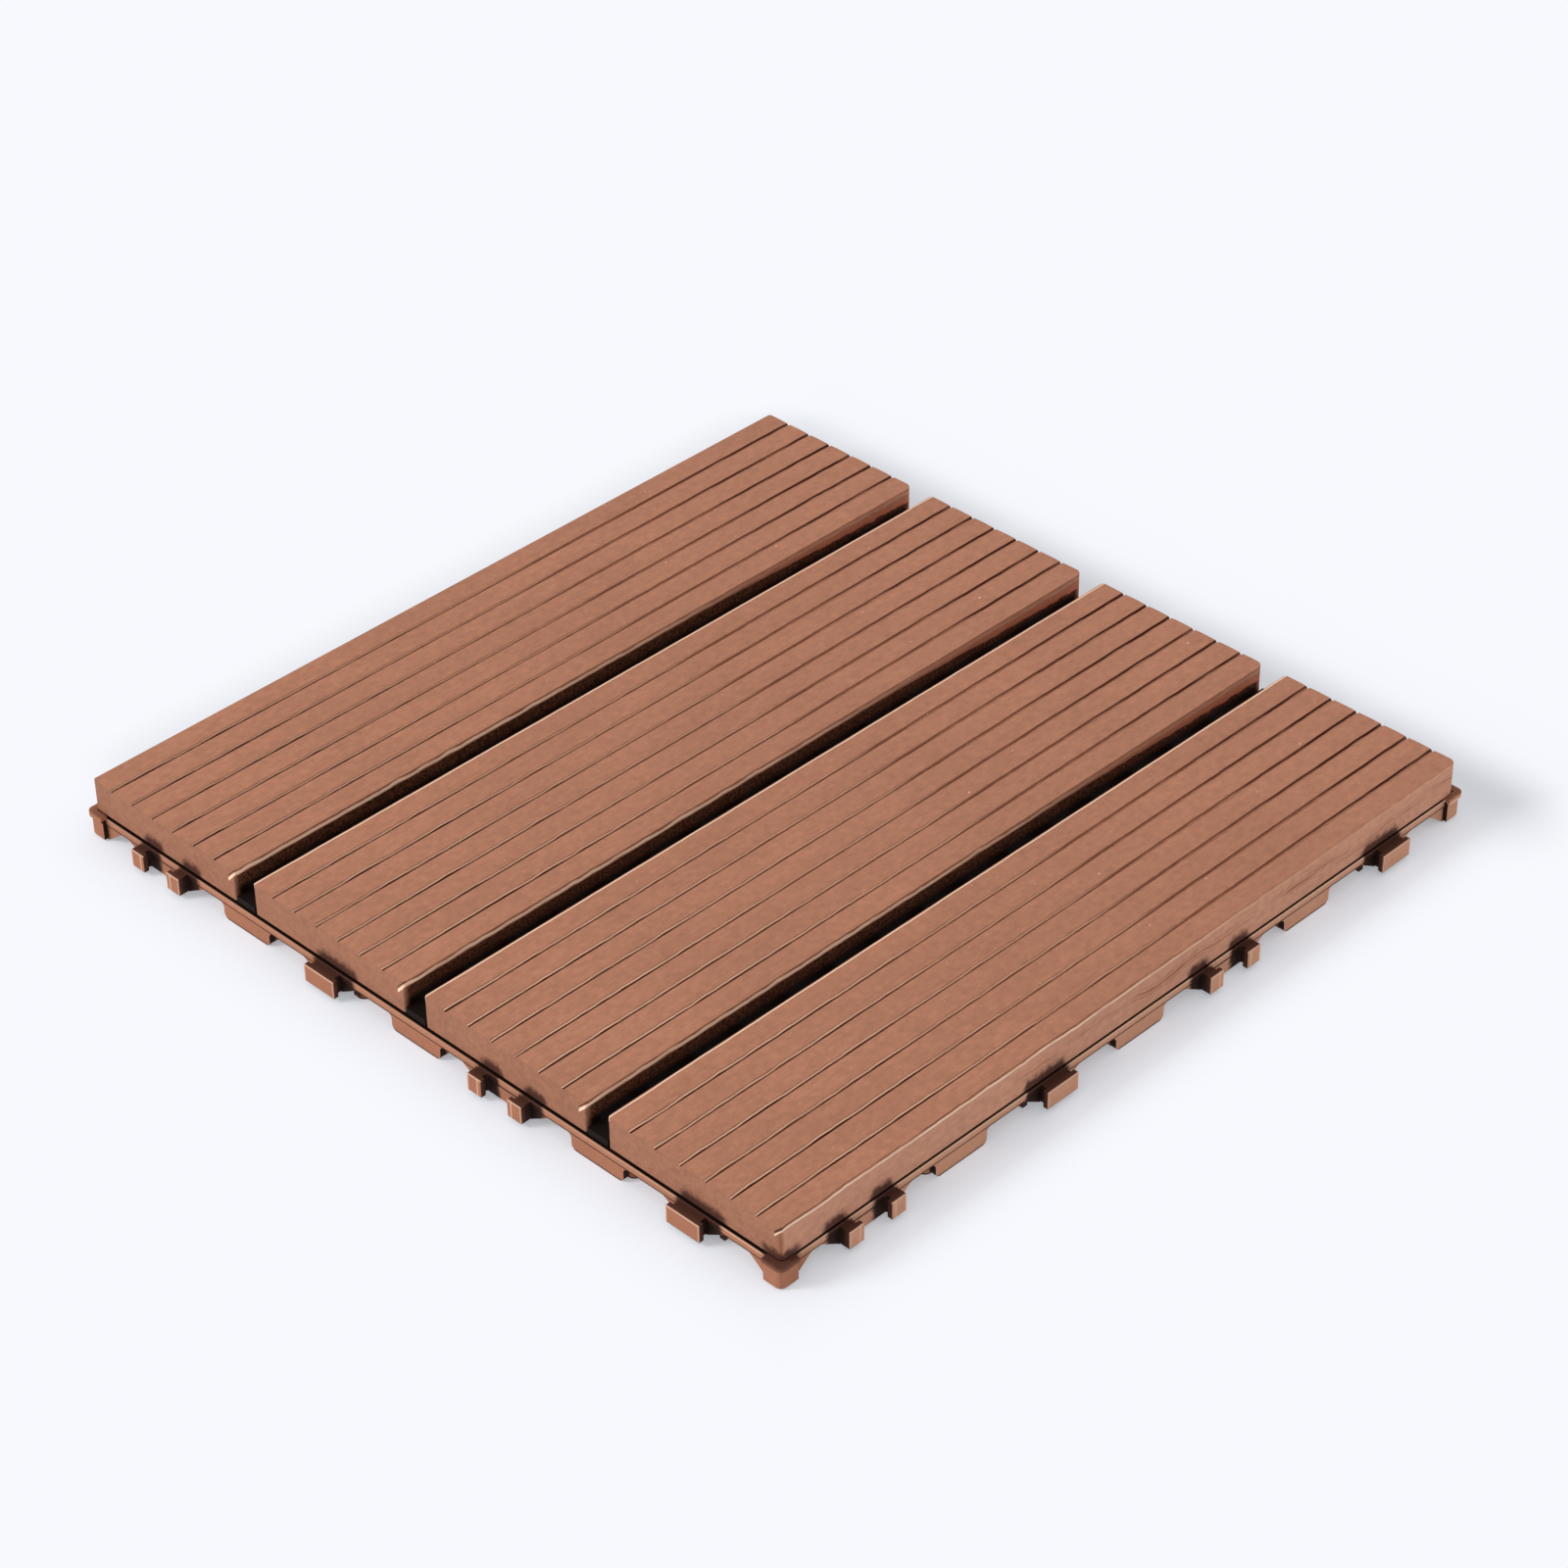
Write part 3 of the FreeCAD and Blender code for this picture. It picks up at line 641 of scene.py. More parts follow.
class BaseFinish(Finish):
    """The base's material. A part gives its masks and colours in the order to lay them on."""

    def __init__(self, look: BaseLook) -> None:
        """Build the material.

        Args:
            look: Its colours, and the places of its marks where it has them.
        """
        super().__init__("base_plastic", 0.6, shine=0.1)
        self.look = look
        self.front, self.sideways = self.faces()
        self.smudged = self.smudge(2.4, 3.4, 4.6)
        self.corner = (self.from_corner + self.ragged).ramp(8.0, 5.0)
        self.far_end = self.y.ramp(120.0, 130.0)
        self.paint(self.plain(), [
            *self.smudge_and_shade(),
            # dark smudge on the upper parts near the near right corner
            (self.corner * self.z.ramp(6.0, 8.8) * 0.85, look.smudge_and_shade),
            # painted highlights on the edges that catch the light
            (self.lit_edges() * 0.85, look.edge),
            # painted shade in thin lines along the lower edges
            (self.shade_lines() * 0.9, look.outline),
        ])
        self.bump(self.noise([0.5]), 0.03)

    def plain(self) -> Value:
        """Mottled plastic, a little lighter on the rim, with painted light on the faces on the right.

        Returns:
            The colour.
        """
        look, bottom = self.look, LAYOUT.rim_bottom
        mottle = self.noise([2.2], 3.0).swing(0.06) * self.noise([18.0], shift=9.0).swing(0.05)
        on_rim = self.z.ramp(bottom - 0.1, bottom + 0.1) * self.out.line(0.0, 0.4)
        # painted light: the faces on the right, away from the lamp, get a lighter copy of the body colour
        right = self.facing[Axis.ACROSS].ramp(0.5, 0.8) * self.y.ramp(-143.0, -134.0)
        return mottle.shade(right.blend(on_rim.blend(look.body, look.rim), look.lit_right_side))

    def faces(self) -> tuple[Value, Value]:
        """Masks of the faces that look straight out from their side, and of those that look along it.

        Returns:
            The two masks.
        """
        across, along = abs(self.facing[Axis.ACROSS]), abs(self.facing[Axis.ALONG])
        outward, sideways = self.ends.choose(along, across), self.ends.choose(across, along)
        return outward.ramp(0.55, 0.75), sideways.ramp(0.55, 0.75)

    def smudge_and_shade(self) -> list[Layer]:
        """Dark smudges on connector and foot tops, with painted shade on their sides and inner corners.

        Returns:
            The smudges with the side shade, the painted shade in inner corners, and that under the slats.
        """
        out, top = self.out, LAYOUT.rim_top
        wavy = self.noise([1.6], 4.0, shift=3.0).wander(1.2)
        upper = (
            self.facing[Axis.UP].ramp(0.5, 0.8) * (out + wavy * 0.3).ramp(4.1, 3.3)
            * self.z.ramp(top - 0.05, top - 0.2) * out.ramp(0.1, 0.3)
        )
        spread = self.smudged * (1.0 - self.front * out.ramp(0.8, 1.2)) * out.ramp(-5.0, -1.0)
        cap = (out + wavy).ramp(1.9, 0.9) * self.z.ramp(top + 0.6, top + 0.8) * out.ramp(-0.8, -0.6) * 0.55
        # painted shade on the faces that look along the side, below the rim's top
        side = self.sideways * (1.0 - self.front) * out.ramp(-2.6, -2.2) * self.z.ramp(top - 0.1, top - 0.4)
        # painted shade, near black, in the inner corners
        tucked = side.most(spread * self.z.ramp(top - 0.2, top - 0.7)) * (out + wavy).ramp(3.6, 1.4)
        return [
            (upper.most(spread, cap, side) * 0.93, self.look.smudge_and_shade),
            (tucked * 0.8, self.look.corner),
            # painted shade under the slats
            (self.z.ramp(top - 0.4, top - 0.15) * out.ramp(-0.3, -0.5), self.look.gap),
        ]

    def lit_edges(self) -> Value:
        """Mask of the painted highlights on edges that catch the light: rim, connectors and far corners.

        Returns:
            The mask.
        """
        out, top = self.out, LAYOUT.rim_top
        upper, lower = LAYOUT.connector_top, LAYOUT.connector_bottom
        upright = self.beside().line(-0.1, 0.45) * self.z.ramp(lower + 0.3, lower + 0.7) * 0.7
        connector = self.z.line(upper - 0.1, 0.4).most(upright) * out.ramp(3.6, 3.85) * 0.75
        rim = self.z.band(top - 0.2, top + 0.2, 0.25) * out.ramp(-0.45, -0.2) * out.ramp(0.4, 0.2)
        clean = (1.0 - self.smudged.most(self.corner)) * (self.x + self.y).ramp(-120.0, 60.0).raised(0.25)
        far_corner = self.z.line(upper - 0.05, 0.4) * out.ramp(1.0, 1.3) * self.far_end
        return (rim * clean).most(connector, far_corner)

    def shade_lines(self) -> Value:
        """Mask of the painted shade in thin lines along the lower edges.

        Returns:
            The mask.
        """
        out, low = self.out, LAYOUT.connector_bottom
        connector = self.z.ramp(low + 0.65, low + 0.25) * out.ramp(2.0, 2.4)
        foot = self.z.ramp(0.7, 0.25) * self.front.most(self.sideways)
        on_rim = out.ramp(-0.1, -0.03) * out.ramp(0.3, 0.1) * self.front
        rim = self.z.line(LAYOUT.rim_bottom + 0.1, 0.5) * on_rim
        far_corner = self.z.line(7.15, 0.35) * out.ramp(0.6, 1.0) * out.ramp(1.75, 1.5) * self.far_end
        return connector.most(foot, rim, far_corner) * out.ramp(-6.0, -5.0)


@dataclass(frozen=True)
class ScrewLook:
    """Zinc-plated steel with a turned grain.

    Attributes:
        steel: Colour of the plating.
        grime: Colour of the duller patches.
    """

    steel: Rgb = tone(196, 198, 202)
    grime: Rgb = tone(140, 138, 134)


class ScrewFinish(Finish):
    """The screws' material."""

    def __init__(self, look: ScrewLook) -> None:
        """Build the material.

        Args:
            look: Its colours, and the places of its marks where it has them.
        """
        super().__init__("screw_steel", 0.34, 1.0)
        patches = self.noise([1.4], 3.0).ramp(0.35, 0.7)
        self.paint(look.steel, [(patches, look.grime)])
        feed(self.shader.inputs["Roughness"], patches * 0.2 + 0.26)
        self.bump(self.noise([0.25]), 0.01)


class Workbench:
    """Modelling steps on one mesh, with places given in millimetres."""

    def __init__(self, piece: bpy.types.Object) -> None:
        """Take up a piece that has just been added."""
        self.piece = piece

    @classmethod
    def block(cls, name: str, low: Sequence[float], high: Sequence[float]) -> "Workbench":
        """Start from a block between two opposite corners.

        Args:
            name: The piece's name.
            low: Corner with the lowest coordinates.
            high: Corner with the highest.

        Returns:
            The block's bench.
        """
        bpy.ops.object.select_all(action="DESELECT")
        middle = [(start + stop) / 2 * MM for start, stop in zip(low, high)]
        extent = [(stop - start) * MM for start, stop in zip(low, high)]
        bpy.ops.mesh.primitive_cube_add(size=1, location=middle, scale=extent)
        return cls.settled(name)

    @classmethod
    def rod(cls, name: str, radius: float, low: float, high: float, x: float = 0.0, y: float = 0.0,
            sides: int = 40) -> "Workbench":
        """Start from an upright cylinder between two heights.

        Args:
            name: The piece's name.
            radius: Its radius.
            low: Height of its lower end.
            high: Height of its upper end.
            x: Place of its axis across the tile.
            y: Place of its axis along the tile.
            sides: Faces round it.

        Returns:
            The cylinder's bench.
        """
        bpy.ops.object.select_all(action="DESELECT")
        bpy.ops.mesh.primitive_cylinder_add(
            vertices=sides, radius=radius * MM, depth=(high - low) * MM,
            location=(x * MM, y * MM, (low + high) / 2 * MM),
        )
        return cls.settled(name)

    @classmethod
    def settled(cls, name: str) -> "Workbench":
        """Name the new piece and move its place into its mesh.

        Args:
            name: The piece's name.

        Returns:
            The piece's bench.
        """
        piece = bpy.context.active_object
        piece.name = name
        piece.data.name = name
        bpy.ops.object.transform_apply(location=True, rotation=True, scale=True)
        return cls(piece)

    def focus(self) -> None:
        """Select this piece alone and make it the active one."""
        bpy.ops.object.select_all(action="DESELECT")
        self.piece.select_set(True)
        bpy.context.view_layer.objects.active = self.piece

    def edit(self) -> None:
        """Enter edit mode on this piece alone."""
        self.focus()
        bpy.ops.object.mode_set(mode="EDIT")

    def leave(self) -> None:
        """Return to object mode."""
        bpy.ops.object.mode_set(mode="OBJECT")

    def slice(self, axis: Axis, places: Sequence[float]) -> None:
        """Cut the surface along planes square to an axis, without opening it.

        Args:
            axis: The axis.
            places: Where the planes cross it.
        """
        self.edit()
        for place in places:
            bpy.ops.mesh.select_all(action="SELECT")
            bpy.ops.mesh.bisect(plane_co=axis.direction * (place * MM), plane_no=axis.direction)
        self.leave()

    def pick(self, wanted: Test, faces: bool = False) -> None:
        """Select what passes the test by its place, in millimetres, and stay in edit mode.

        Args:
            wanted: The test of a vertex's place, or of a face's centre.
            faces: Whether to pick faces instead of vertices.
        """
        self.edit()
        bpy.ops.mesh.select_mode(type="FACE" if faces else "VERT")
        bpy.ops.mesh.select_all(action="DESELECT")
        self.leave()
        mesh = self.piece.data
        for element in mesh.polygons if faces else mesh.vertices:
            element.select = wanted((element.center if faces else element.co) / MM)
        self.edit()

    def lower(self, wanted: Test, drop: float) -> None:
        """Move the vertices that pass the test down."""
        self.pick(wanted)
        bpy.ops.transform.translate(value=(0, 0, -drop * MM))
        self.leave()

    def shrink(self, wanted: Test, share: float) -> None:
        """Draw the vertices that pass the test in towards their upright axis, to a share of their width."""
        self.pick(wanted)
        bpy.ops.transform.resize(value=(share, share, 1.0))
        self.leave()

    def soften(self, weigh: Callable[[Vector, Vector], float], width: float, segments: int) -> None:
        """Round edges, each by its own share of a width.

        Args:
            weigh: Gives an edge's share from its two ends, in millimetres.
            width: Width of the rounding at a share of 1.
            segments: Faces across each rounding.
        """
        mesh = self.piece.data
        shares = mesh.attributes.new("bevel_weight_edge", "FLOAT", "EDGE")
        for edge, share in zip(mesh.edges, shares.data):
            first, second = (mesh.vertices[index].co / MM for index in edge.vertices)
            share.value = weigh(first, second)
        rounding = self.piece.modifiers.new("rounding", "BEVEL")
        rounding.limit_method = "WEIGHT"
        rounding.width = width * MM
        rounding.segments = segments
        rounding.use_clamp_overlap = True
        self.apply(rounding)
        mesh = self.piece.data
        if "bevel_weight_edge" in mesh.attributes:
            mesh.attributes.remove(mesh.attributes["bevel_weight_edge"])

    def apply(self, modifier: bpy.types.Modifier) -> None:
        """Apply one modifier to the mesh."""
        self.focus()
        bpy.ops.object.modifier_apply(modifier=modifier.name)

    def merge(self, tool: "Workbench", how: Merge) -> None:
        """Cut another piece's shape out of this one, or add it, and remove the other piece.

        Args:
            tool: The other piece.
            how: Whether its shape is cut out or added.
        """
        step = self.piece.modifiers.new("merge", "BOOLEAN")
        step.operation = how.value
        step.solver = "EXACT"
        step.object = tool.piece
        self.apply(step)
        tool.remove()

    def remove(self) -> None:
        """Take the piece out of the scene."""
        bpy.data.objects.remove(self.piece, do_unlink=True)

    def copy(self, name: str, x: float = 0.0, y: float = 0.0) -> "Workbench":
        """A moved copy with its own mesh.

        Args:
            name: The copy's name.
            x: How far it moves across the tile.
            y: How far it moves along the tile.

        Returns:
            The copy's bench.
        """
        self.focus()
        bpy.ops.object.duplicate()
        bpy.ops.transform.translate(value=(x * MM, y * MM, 0))
        return Workbench.settled(name)

    def join(self, others: Sequence["Workbench"]) -> "Workbench":
        """Take other pieces into this one.

        Args:
            others: The other pieces.

        Returns:
            This bench.
        """
        self.focus()
        for other in others:
            other.piece.select_set(True)
        bpy.ops.object.join()
        return self

    def finish(self, material: bpy.types.Material, slot: str, nodes: Sequence[str]) -> bpy.types.Object:
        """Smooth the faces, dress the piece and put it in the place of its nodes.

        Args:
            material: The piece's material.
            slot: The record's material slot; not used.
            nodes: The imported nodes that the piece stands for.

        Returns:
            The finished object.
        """
        self.focus()
        bpy.ops.object.shade_smooth_by_angle(angle=math.radians(32))
        self.piece.data.materials.clear()
        self.piece.data.materials.append(material)
        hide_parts(*nodes)
        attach(self.piece, "root")
        log.info("%s: %d faces", self.piece.name, len(self.piece.data.polygons))
        return self.piece


@dataclass
class SlatSet:
    """The four slats, modelled once and copied.

    Attributes:
        look: Their material's values.
        groove_half: Half the width of a groove.
        groove_depth: Depth of a groove below the walking face.
        rib_crown: Height of a rib's middle above its lips.
        rib_steps: Places of the lines on a rib, as shares of half its width.
        shoulder: Distance past the outer grooves where the margin has risen by 0.7 of the crown.
        level: Distance past the outer grooves where the margin is level.
        edge_round: Rounding of the long upper edges.
        end_share: Share of that rounding on the upper edges of the ends.
        low_share: Share of that rounding on the lower edges.
        corner_round: Rounding of the upright corner at the far right.
        crisp_share: Share of that rounding on the other upright corners.
        pilot_radius: Radius of the screws' pilot holes.
        pilot_top: Height that the pilot holes reach.
    """

    look: SlatLook
    groove_half: float = 0.7
    groove_depth: float = 0.9
    rib_crown: float = 0.15
    rib_steps: tuple[float, ...] = (-0.8, -0.5, 0.0, 0.5, 0.8)
    shoulder: float = 2.2
    level: float = 4.5
    edge_round: float = 2.0
    end_share: float = 0.12
    low_share: float = 0.3
    corner_round: float = 2.4
    crisp_share: float = 0.42
    pilot_radius: float = 1.8
    pilot_top: float = 17.5

    def build(self) -> list[bpy.types.Object]:
        """Model the first slat, copy it, and dress them all.

        Returns:
            The finished slats.
        """
        material = SlatFinish(self.look).material
        first = self.model()
        slats = [first] + [first.copy(f"slat_board_{index + 1}", x=LAYOUT.slat_pitch * index)
                           for index in range(1, len(LAYOUT.slat_lines))]
        return [slat.finish(material, "slat_composite", [f"slat_{index + 1}"])
                for index, slat in enumerate(slats)]

    @property
    def centre(self) -> float:
        """Distance of the first slat's centre line from the middle of the tile."""
        return LAYOUT.slat_lines[0]

    def model(self) -> Workbench:
        """The first slat.

        Returns:
            The slat's bench.
        """
        half, length = LAYOUT.slat_width / 2, LAYOUT.slat_half_length
        low = (self.centre - half, -length, LAYOUT.seat)
        slat = Workbench.block("slat_board_1", low, (self.centre + half, length, LAYOUT.top))
        slat.soften(self.corner_share, self.corner_round, 6)
        drops = self.drops()
        slat.slice(Axis.ACROSS, sorted(drops))
        for place, drop in drops.items():
            slat.lower(
                lambda point, place=place: abs(point.x - place) < NEAR_MM and point.z > LAYOUT.top - NEAR_MM,
                drop,
            )
        slat.soften(self.edge_share, self.edge_round, 5)
        pilots = [
            Workbench.rod("pilot", self.pilot_radius, LAYOUT.seat - 1, self.pilot_top, self.centre, line, 24)
            for line in LAYOUT.slat_lines
        ]
        slat.merge(pilots[0].join(pilots[1:]), Merge.CUT)
        return slat

    def corner_share(self, first: Vector, second: Vector) -> float:
        """Share of the corner rounding that one edge of the plain block gets.

        Args:
            first: The edge's first end.
            second: The edge's second end.

        Returns:
            The share, 0 for an edge that isn't upright.
        """
        if abs((second - first).normalized().dot(Axis.UP.direction)) < 0.9:
            return 0.0
        return 1.0 if first.x > self.centre and first.y > 0 else self.crisp_share

    def drops(self) -> dict[float, float]:
        """Lines along the slat and how far each lies below the walking face.

        Returns:
            The drop at each line's place across the tile.
        """
        lines: dict[float, float] = {}
        half_rib = LAYOUT.groove_pitch / 2 - self.groove_half
        centre, grooves = self.centre, LAYOUT.groove_lines
        for groove in grooves:
            lines[centre + groove] = self.groove_depth
            lines[centre + groove - self.groove_half] = self.rib_crown
            lines[centre + groove + self.groove_half] = self.rib_crown
        for groove in grooves[1:]:
            middle = groove - LAYOUT.groove_pitch / 2
            for share in self.rib_steps:
                lines[centre + middle + half_rib * share] = self.rib_crown * share * share
        outer = LAYOUT.slat_width / 2 - LAYOUT.groove_margin
        for side in (-1, 1):
            lines[centre + side * (outer + self.shoulder)] = self.rib_crown * 0.3
            lines[centre + side * (outer + self.level)] = 0.0
        return lines

    def edge_share(self, first: Vector, second: Vector) -> float:
        """Share of the full rounding that one edge of the slat gets.

        Args:
            first: The edge's first end.
            second: The edge's second end.

        Returns:
            The share, 0 for an edge that stays sharp.
        """
        middle = (first + second) / 2
        along = abs((second - first).normalized().y)
        rim = LAYOUT.slat_width / 2 - self.corner_round - NEAR_MM
        end = abs(middle.y) > LAYOUT.slat_half_length - NEAR_MM
        outline = abs(middle.x - self.centre) > rim or end
        flat = abs(first.z - second.z) < NEAR_MM
        if middle.z > LAYOUT.top - self.groove_depth and outline and (flat or end):
            return max(along, self.end_share)
        if middle.z < LAYOUT.seat + NEAR_MM and outline and flat:
            return self.low_share * max(along, self.low_share)
        return 0.0


@dataclass
class ScrewSet:
    """The screws that hold the slats from below, modelled once and copied.

    Attributes:
        look: Their material's values.
        head_radius: Radius of a head.
        head_low: Height of the head's lowest point.
        head_high: Height of the face that the head bears on.
        head_round: Rounding of the head.
        shank_radius: Radius of the shank.
        tip_low: Height where the point starts.
        tip_high: Height of the point.
        tip_share: Width of the point as a share of the shank's.
        thread_lines: Crests and roots along the thread.
        root_share: Width of a root as a share of the shank's.
        recess_half_length: Half the length of the recess's bars.
        recess_half_width: Half their width.
        recess_depth: Depth of the recess.
        recess_share: Size of its floor as a share of its mouth.
    """

    look: ScrewLook
    head_radius: float = 3.5
    head_low: float = 4.4
    head_high: float = 6.6
    head_round: float = 1.2
    shank_radius: float = 1.75
    tip_low: float = 15.4
    tip_high: float = 17.0
    tip_share: float = 0.08
    thread_lines: int = 16
    root_share: float = 0.74
    recess_half_length: float = 1.8
    recess_half_width: float = 0.45
    recess_depth: float = 1.3
    recess_share: float = 0.6

    def build(self) -> bpy.types.Object:
        """Model one screw, copy it under every boss, and join them.

        Returns:
            The finished screws.
        """
        lines = LAYOUT.slat_lines
        first = self.model()
        copies = [first.copy("screw", x, y) for x in lines for y in lines]
        first.remove()
        screws = copies[0].join(copies[1:])
        screws.piece.name = "deck_screw_set"
        return screws.finish(ScrewFinish(self.look).material, "screw_steel", ["deck_screws"])

    def model(self) -> Workbench:
        """One screw on the tile's own axis, head down.

        Returns:
            The screw's bench.
        """
        head = Workbench.rod("screw_head", self.head_radius, self.head_low, self.head_high)
        head.soften(
            lambda first, second: float(max(first.z, second.z) < self.head_low + NEAR_MM), self.head_round, 5,
        )
        head.merge(self.recess(), Merge.CUT)
        shank = Workbench.rod("screw_shank", self.shank_radius, self.head_high - 0.1, self.tip_low, sides=24)
        step = (self.tip_low - self.head_high) / (self.thread_lines + 1)
        places = [self.head_high + step * (index + 1) for index in range(self.thread_lines)]
        shank.slice(Axis.UP, places)
        for place in places[::2]:
            shank.shrink(lambda point, place=place: abs(point.z - place) < NEAR_MM, self.root_share)
        shank.pick(lambda point: point.z > self.tip_low - NEAR_MM, faces=True)
        rise = (0, 0, (self.tip_high - self.tip_low) * MM)
        bpy.ops.mesh.extrude_region_move(TRANSFORM_OT_translate={"value": rise})
        bpy.ops.transform.resize(value=(self.tip_share, self.tip_share, 1.0))
        shank.leave()
        return head.join([shank])

    def recess(self) -> Workbench:
        """Cutter for a cross recess whose walls run in towards its floor.

        Returns:
            The cutter's bench.
        """
        floor = self.head_low + self.recess_depth
        long, short = self.recess_half_length, self.recess_half_width
        bars = [
            Workbench.block("recess_bar", (-x, -y, self.head_low - 0.5), (x, y, floor))
            for x, y in ((long, short), (short, long))
        ]
        for bar in bars:
            bar.shrink(lambda point: point.z > floor - NEAR_MM, self.recess_share)
        bars[0].merge(bars[1], Merge.ADD)
        return bars[0]


@dataclass
class Base:
    """The moulded base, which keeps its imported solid.

    Attributes:
        look: Its material's values.
        node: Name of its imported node.
    """

    look: BaseLook
    node: str = "base_grid"

    def dress(self) -> bpy.types.Object:
        """Put the material in every slot of the node.

        Returns:
            The node's object.
        """
        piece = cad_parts[self.node]
        material = BaseFinish(self.look).material
        if not piece.material_slots:
            piece.data.materials.append(material)
        for slot in piece.material_slots:
            slot.material = material
        log.info("%s: dressed, %d faces", self.node, len(piece.data.polygons))
        return piece


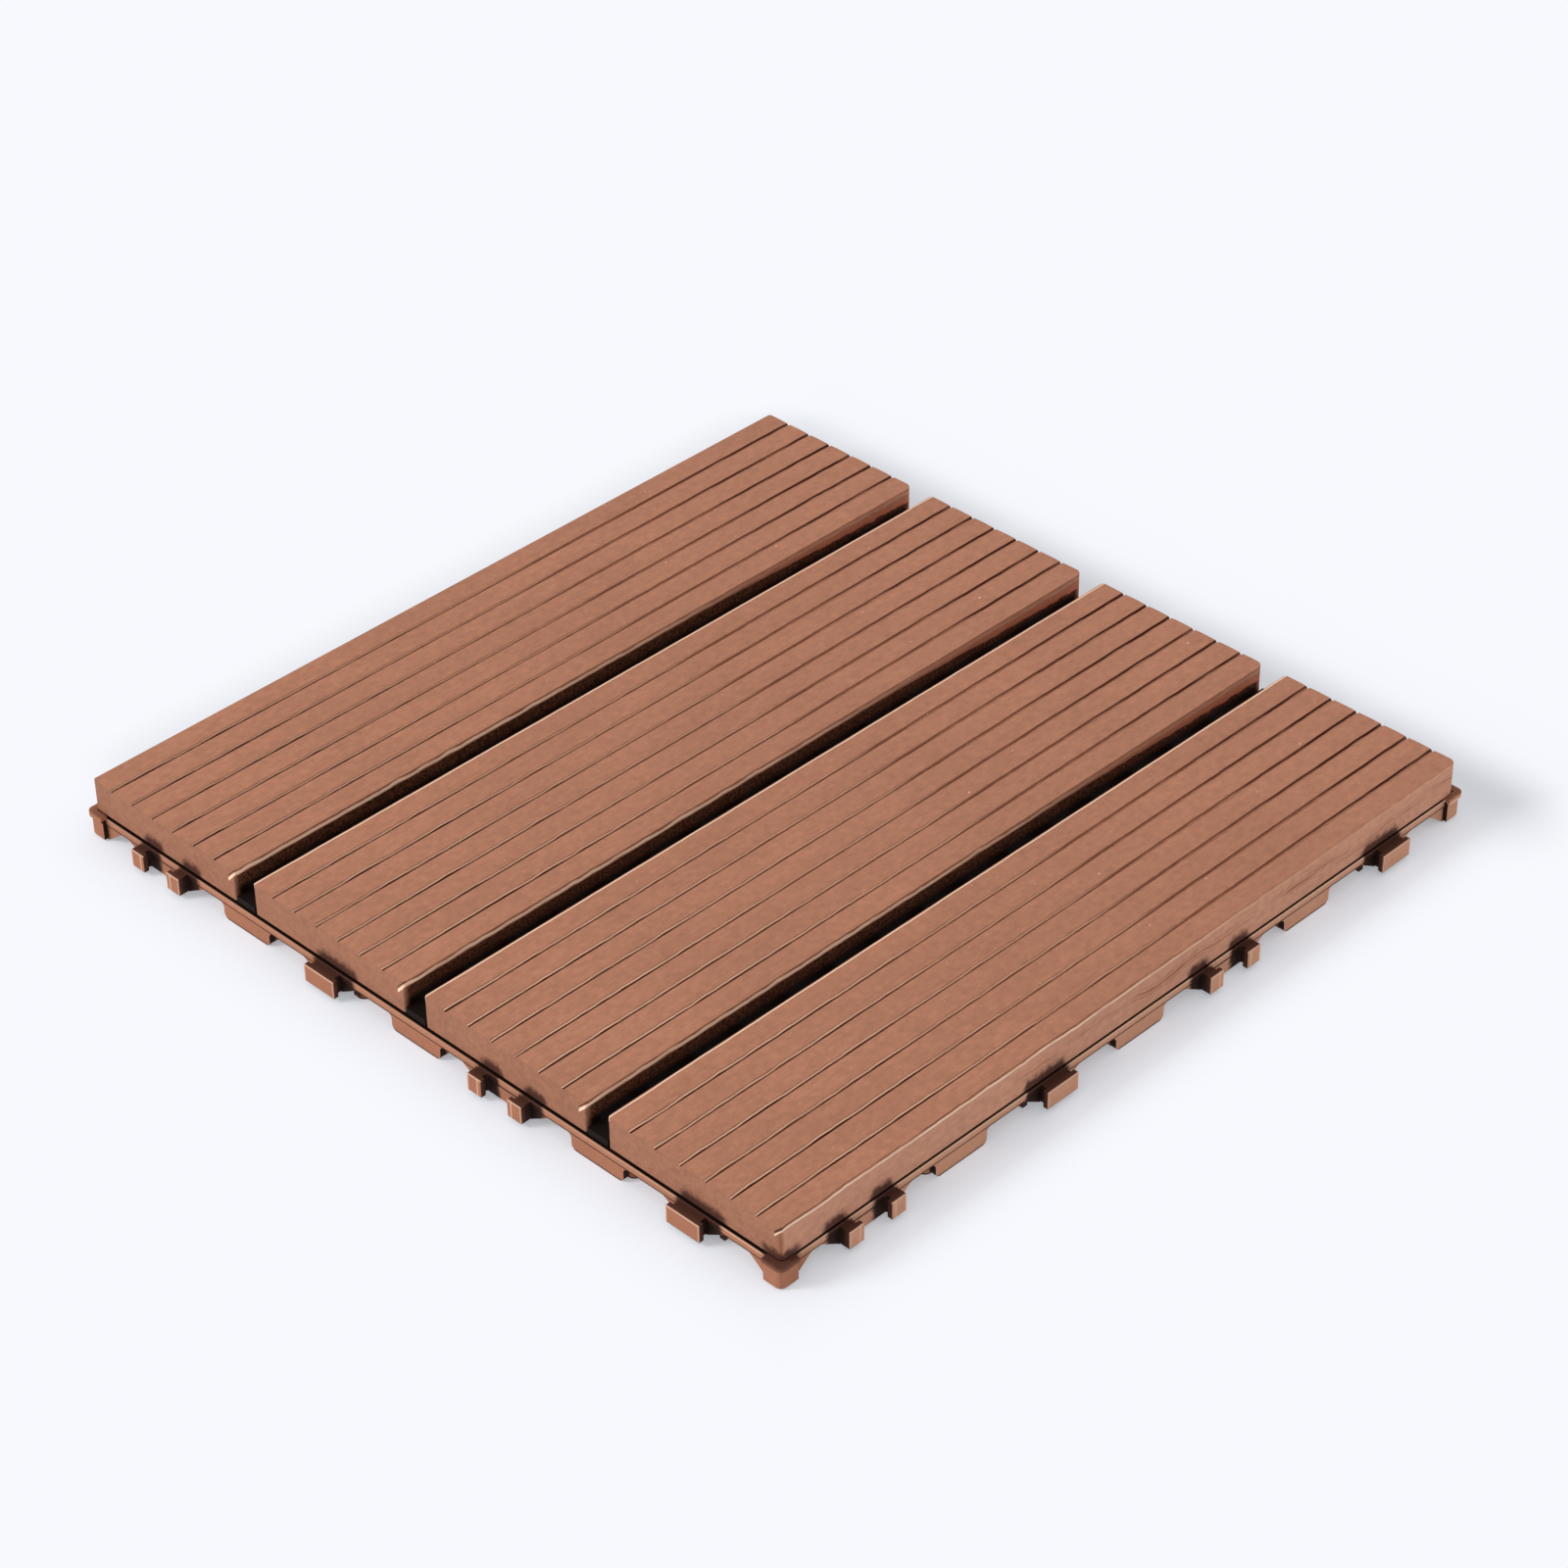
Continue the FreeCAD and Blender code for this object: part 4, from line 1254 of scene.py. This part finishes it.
@dataclass
class Studio:
    """Pale floor, soft light and the camera.

    Attributes:
        backdrop: Colour of the background as the camera sees it.
        floor_m: Length of the floor's sides, in metres.
        floor_tint: Colour of the floor in the tile's shadow, cool against the tile's warm glow.
        sky_strength: Strength of the even light from all sides.
        lamp_watts: Power of the soft lamp.
        lamp_size_m: Diameter of the lamp, in metres.
        lamp_m: Place of the lamp, in metres.
        camera_mm: Place of the camera.
        azimuth: Camera's turn about the upright axis, in degrees.
        elevation: Camera's height above the horizon, in degrees.
        roll: Camera's tilt about its own axis, in degrees.
        lens_mm: Focal length on the sensor.
        sensor_mm: Width of the sensor.
        shadow_reach: Distance from the tile, in millimetres, where the floor shows its shadow no more.
        shadow_lift: Share of the backdrop in the floor right beside the tile.
        shade_mm: Distances from the tile where the painted shadows end and are full.
        far_shade: Depth of the painted shadow on the floor behind the slats' far ends.
        left_shade: Depth of the painted shadow on the floor along the tile's left side.
    """

    backdrop: Rgb = tone(248, 249, 254)
    floor_m: float = 12.0
    floor_tint: Rgb = tone(242, 247, 255)
    sky_strength: float = 0.72
    lamp_watts: float = 90.0
    lamp_size_m: float = 1.5
    lamp_m: tuple[float, float, float] = (-1.9, -2.9, 2.4)
    camera_mm: tuple[float, float, float] = (763.13, -760.63, 805.58)
    azimuth: float = 44.945
    elevation: float = 36.261
    roll: float = -0.742
    lens_mm: float = 98.697
    sensor_mm: float = 36.0
    shadow_reach: float = 34.0
    shadow_lift: float = 0.34
    shade_mm: tuple[float, float] = (42.0, 12.0)
    far_shade: float = 0.25
    left_shade: float = 0.16

    def build(self) -> None:
        """Set up the whole studio."""
        self.floor()
        self.sky()
        self.lamp()
        self.camera()
        bpy.context.scene.view_settings.view_transform = "Standard"
        log.info("studio: floor, sky, lamp and camera")

    def floor(self) -> None:
        """Large pale floor that keeps the tile's shadow, and is clear when seen from below."""
        bpy.ops.object.select_all(action="DESELECT")
        bpy.ops.mesh.primitive_plane_add(size=self.floor_m)
        floor = bpy.context.active_object
        floor.name = "studio_floor"
        finish = Finish("studio_floor", 1.0, shine=0.0)
        # painted shadow on the floor behind the tile and along its left side
        factor = 1.0 - self.painted_floor_shadow(finish)
        finish.paint(factor.shade(self.floor_tint))
        plain = add_node(finish.tree, "ShaderNodeEmission", {"Color": factor.shade(self.backdrop)})
        half = LAYOUT.base_half
        out = abs(finish.x).most(-finish.y, finish.y * 0.45 + half * 0.55) - half
        lift = out.ramp(0.0, self.shadow_reach).raised(self.shadow_lift)
        upper = (lift * self.seen(finish.tree)).mix(finish.shader, plain)
        below = Value(add_node(finish.tree, "ShaderNodeNewGeometry", {}).outputs["Backfacing"])
        both = below.mix(upper, add_node(finish.tree, "ShaderNodeBsdfTransparent", {}))
        feed(finish.tree.nodes["Material Output"].inputs["Surface"], Value(both.outputs[0]))
        floor.data.materials.append(finish.material)

    def painted_floor_shadow(self, finish: Finish) -> Value:
        """Painted shadow on the floor behind the tile and on its left, darkest right beside it.

        Args:
            finish: The floor's material.

        Returns:
            The share that the painted shadow takes off the floor's colour.
        """
        half = LAYOUT.base_half
        aside, behind = abs(finish.x) - half, finish.y - half
        past = aside.most(0.0).hypot(behind.most(0.0))
        far = past.ramp(*self.shade_mm) * behind.ramp(-15.0, 30.0) * self.far_shade
        left = (
            (-(finish.x + half)).ramp(*self.shade_mm) * finish.x.ramp(-half, -half - self.shade_mm[1])
            * finish.y.band(-half + 40.0, half, 30.0) * self.left_shade
        )
        return far.most(left)

    def seen(self, tree: bpy.types.NodeTree) -> Value:
        """Mask of what the camera sees, straight or in a reflection, and not light that falls on the tile."""
        path = add_node(tree, "ShaderNodeLightPath", {}).outputs
        first, *others = (Value(path[f"Is {kind} Ray"]) for kind in ("Camera", "Glossy", "Transmission"))
        return first.most(*others)

    def sky(self) -> None:
        """Even white light, and the pale backdrop where the camera and reflections see past the floor."""
        world = bpy.data.worlds.new("studio_sky")
        bpy.context.scene.world = world
        world.use_nodes = True
        tree = world.node_tree
        light = tree.nodes["Background"]
        feed(light.inputs["Color"], (1.0, 1.0, 1.0))
        feed(light.inputs["Strength"], self.sky_strength)
        shown = add_node(tree, "ShaderNodeBackground", {"Color": self.backdrop, "Strength": 1.0})
        mixed = self.seen(tree).mix(light, shown)
        feed(tree.nodes["World Output"].inputs["Surface"], Value(mixed.outputs[0]))

    def lamp(self) -> None:
        """Large soft lamp high on the picture's left."""
        data = bpy.data.lights.new("studio_lamp", "AREA")
        data.shape = "DISK"
        data.size = self.lamp_size_m
        data.energy = self.lamp_watts
        lamp = bpy.data.objects.new("studio_lamp", data)
        bpy.context.scene.collection.objects.link(lamp)
        lamp.location = self.lamp_m
        lamp.rotation_mode = "QUATERNION"
        lamp.rotation_quaternion = (-lamp.location).to_track_quat("-Z", "Y")

    def camera(self) -> None:
        """Camera at the photograph's angle."""
        data = bpy.data.cameras.new("studio_camera")
        data.sensor_width = self.sensor_mm
        data.lens = self.lens_mm
        data.clip_end = 50.0
        camera = bpy.data.objects.new("studio_camera", data)
        bpy.context.scene.collection.objects.link(camera)
        camera.location = Vector(self.camera_mm) * MM
        camera.rotation_mode = "QUATERNION"
        turn = Quaternion((0, 0, 1), math.radians(self.azimuth))
        tilt = Quaternion((1, 0, 0), math.radians(90 - self.elevation))
        spin = Quaternion((0, 0, 1), math.radians(self.roll))
        camera.rotation_quaternion = turn @ tilt @ spin
        bpy.context.scene.camera = camera


def main() -> None:
    """Build and dress every piece, then the studio."""
    logging.basicConfig(level=logging.INFO, format="%(name)s: %(message)s")
    Base(BaseLook()).dress()
    SlatSet(SlatLook()).build()
    ScrewSet(ScrewLook()).build()
    Studio().build()


if __name__ == "__main__":
    main()
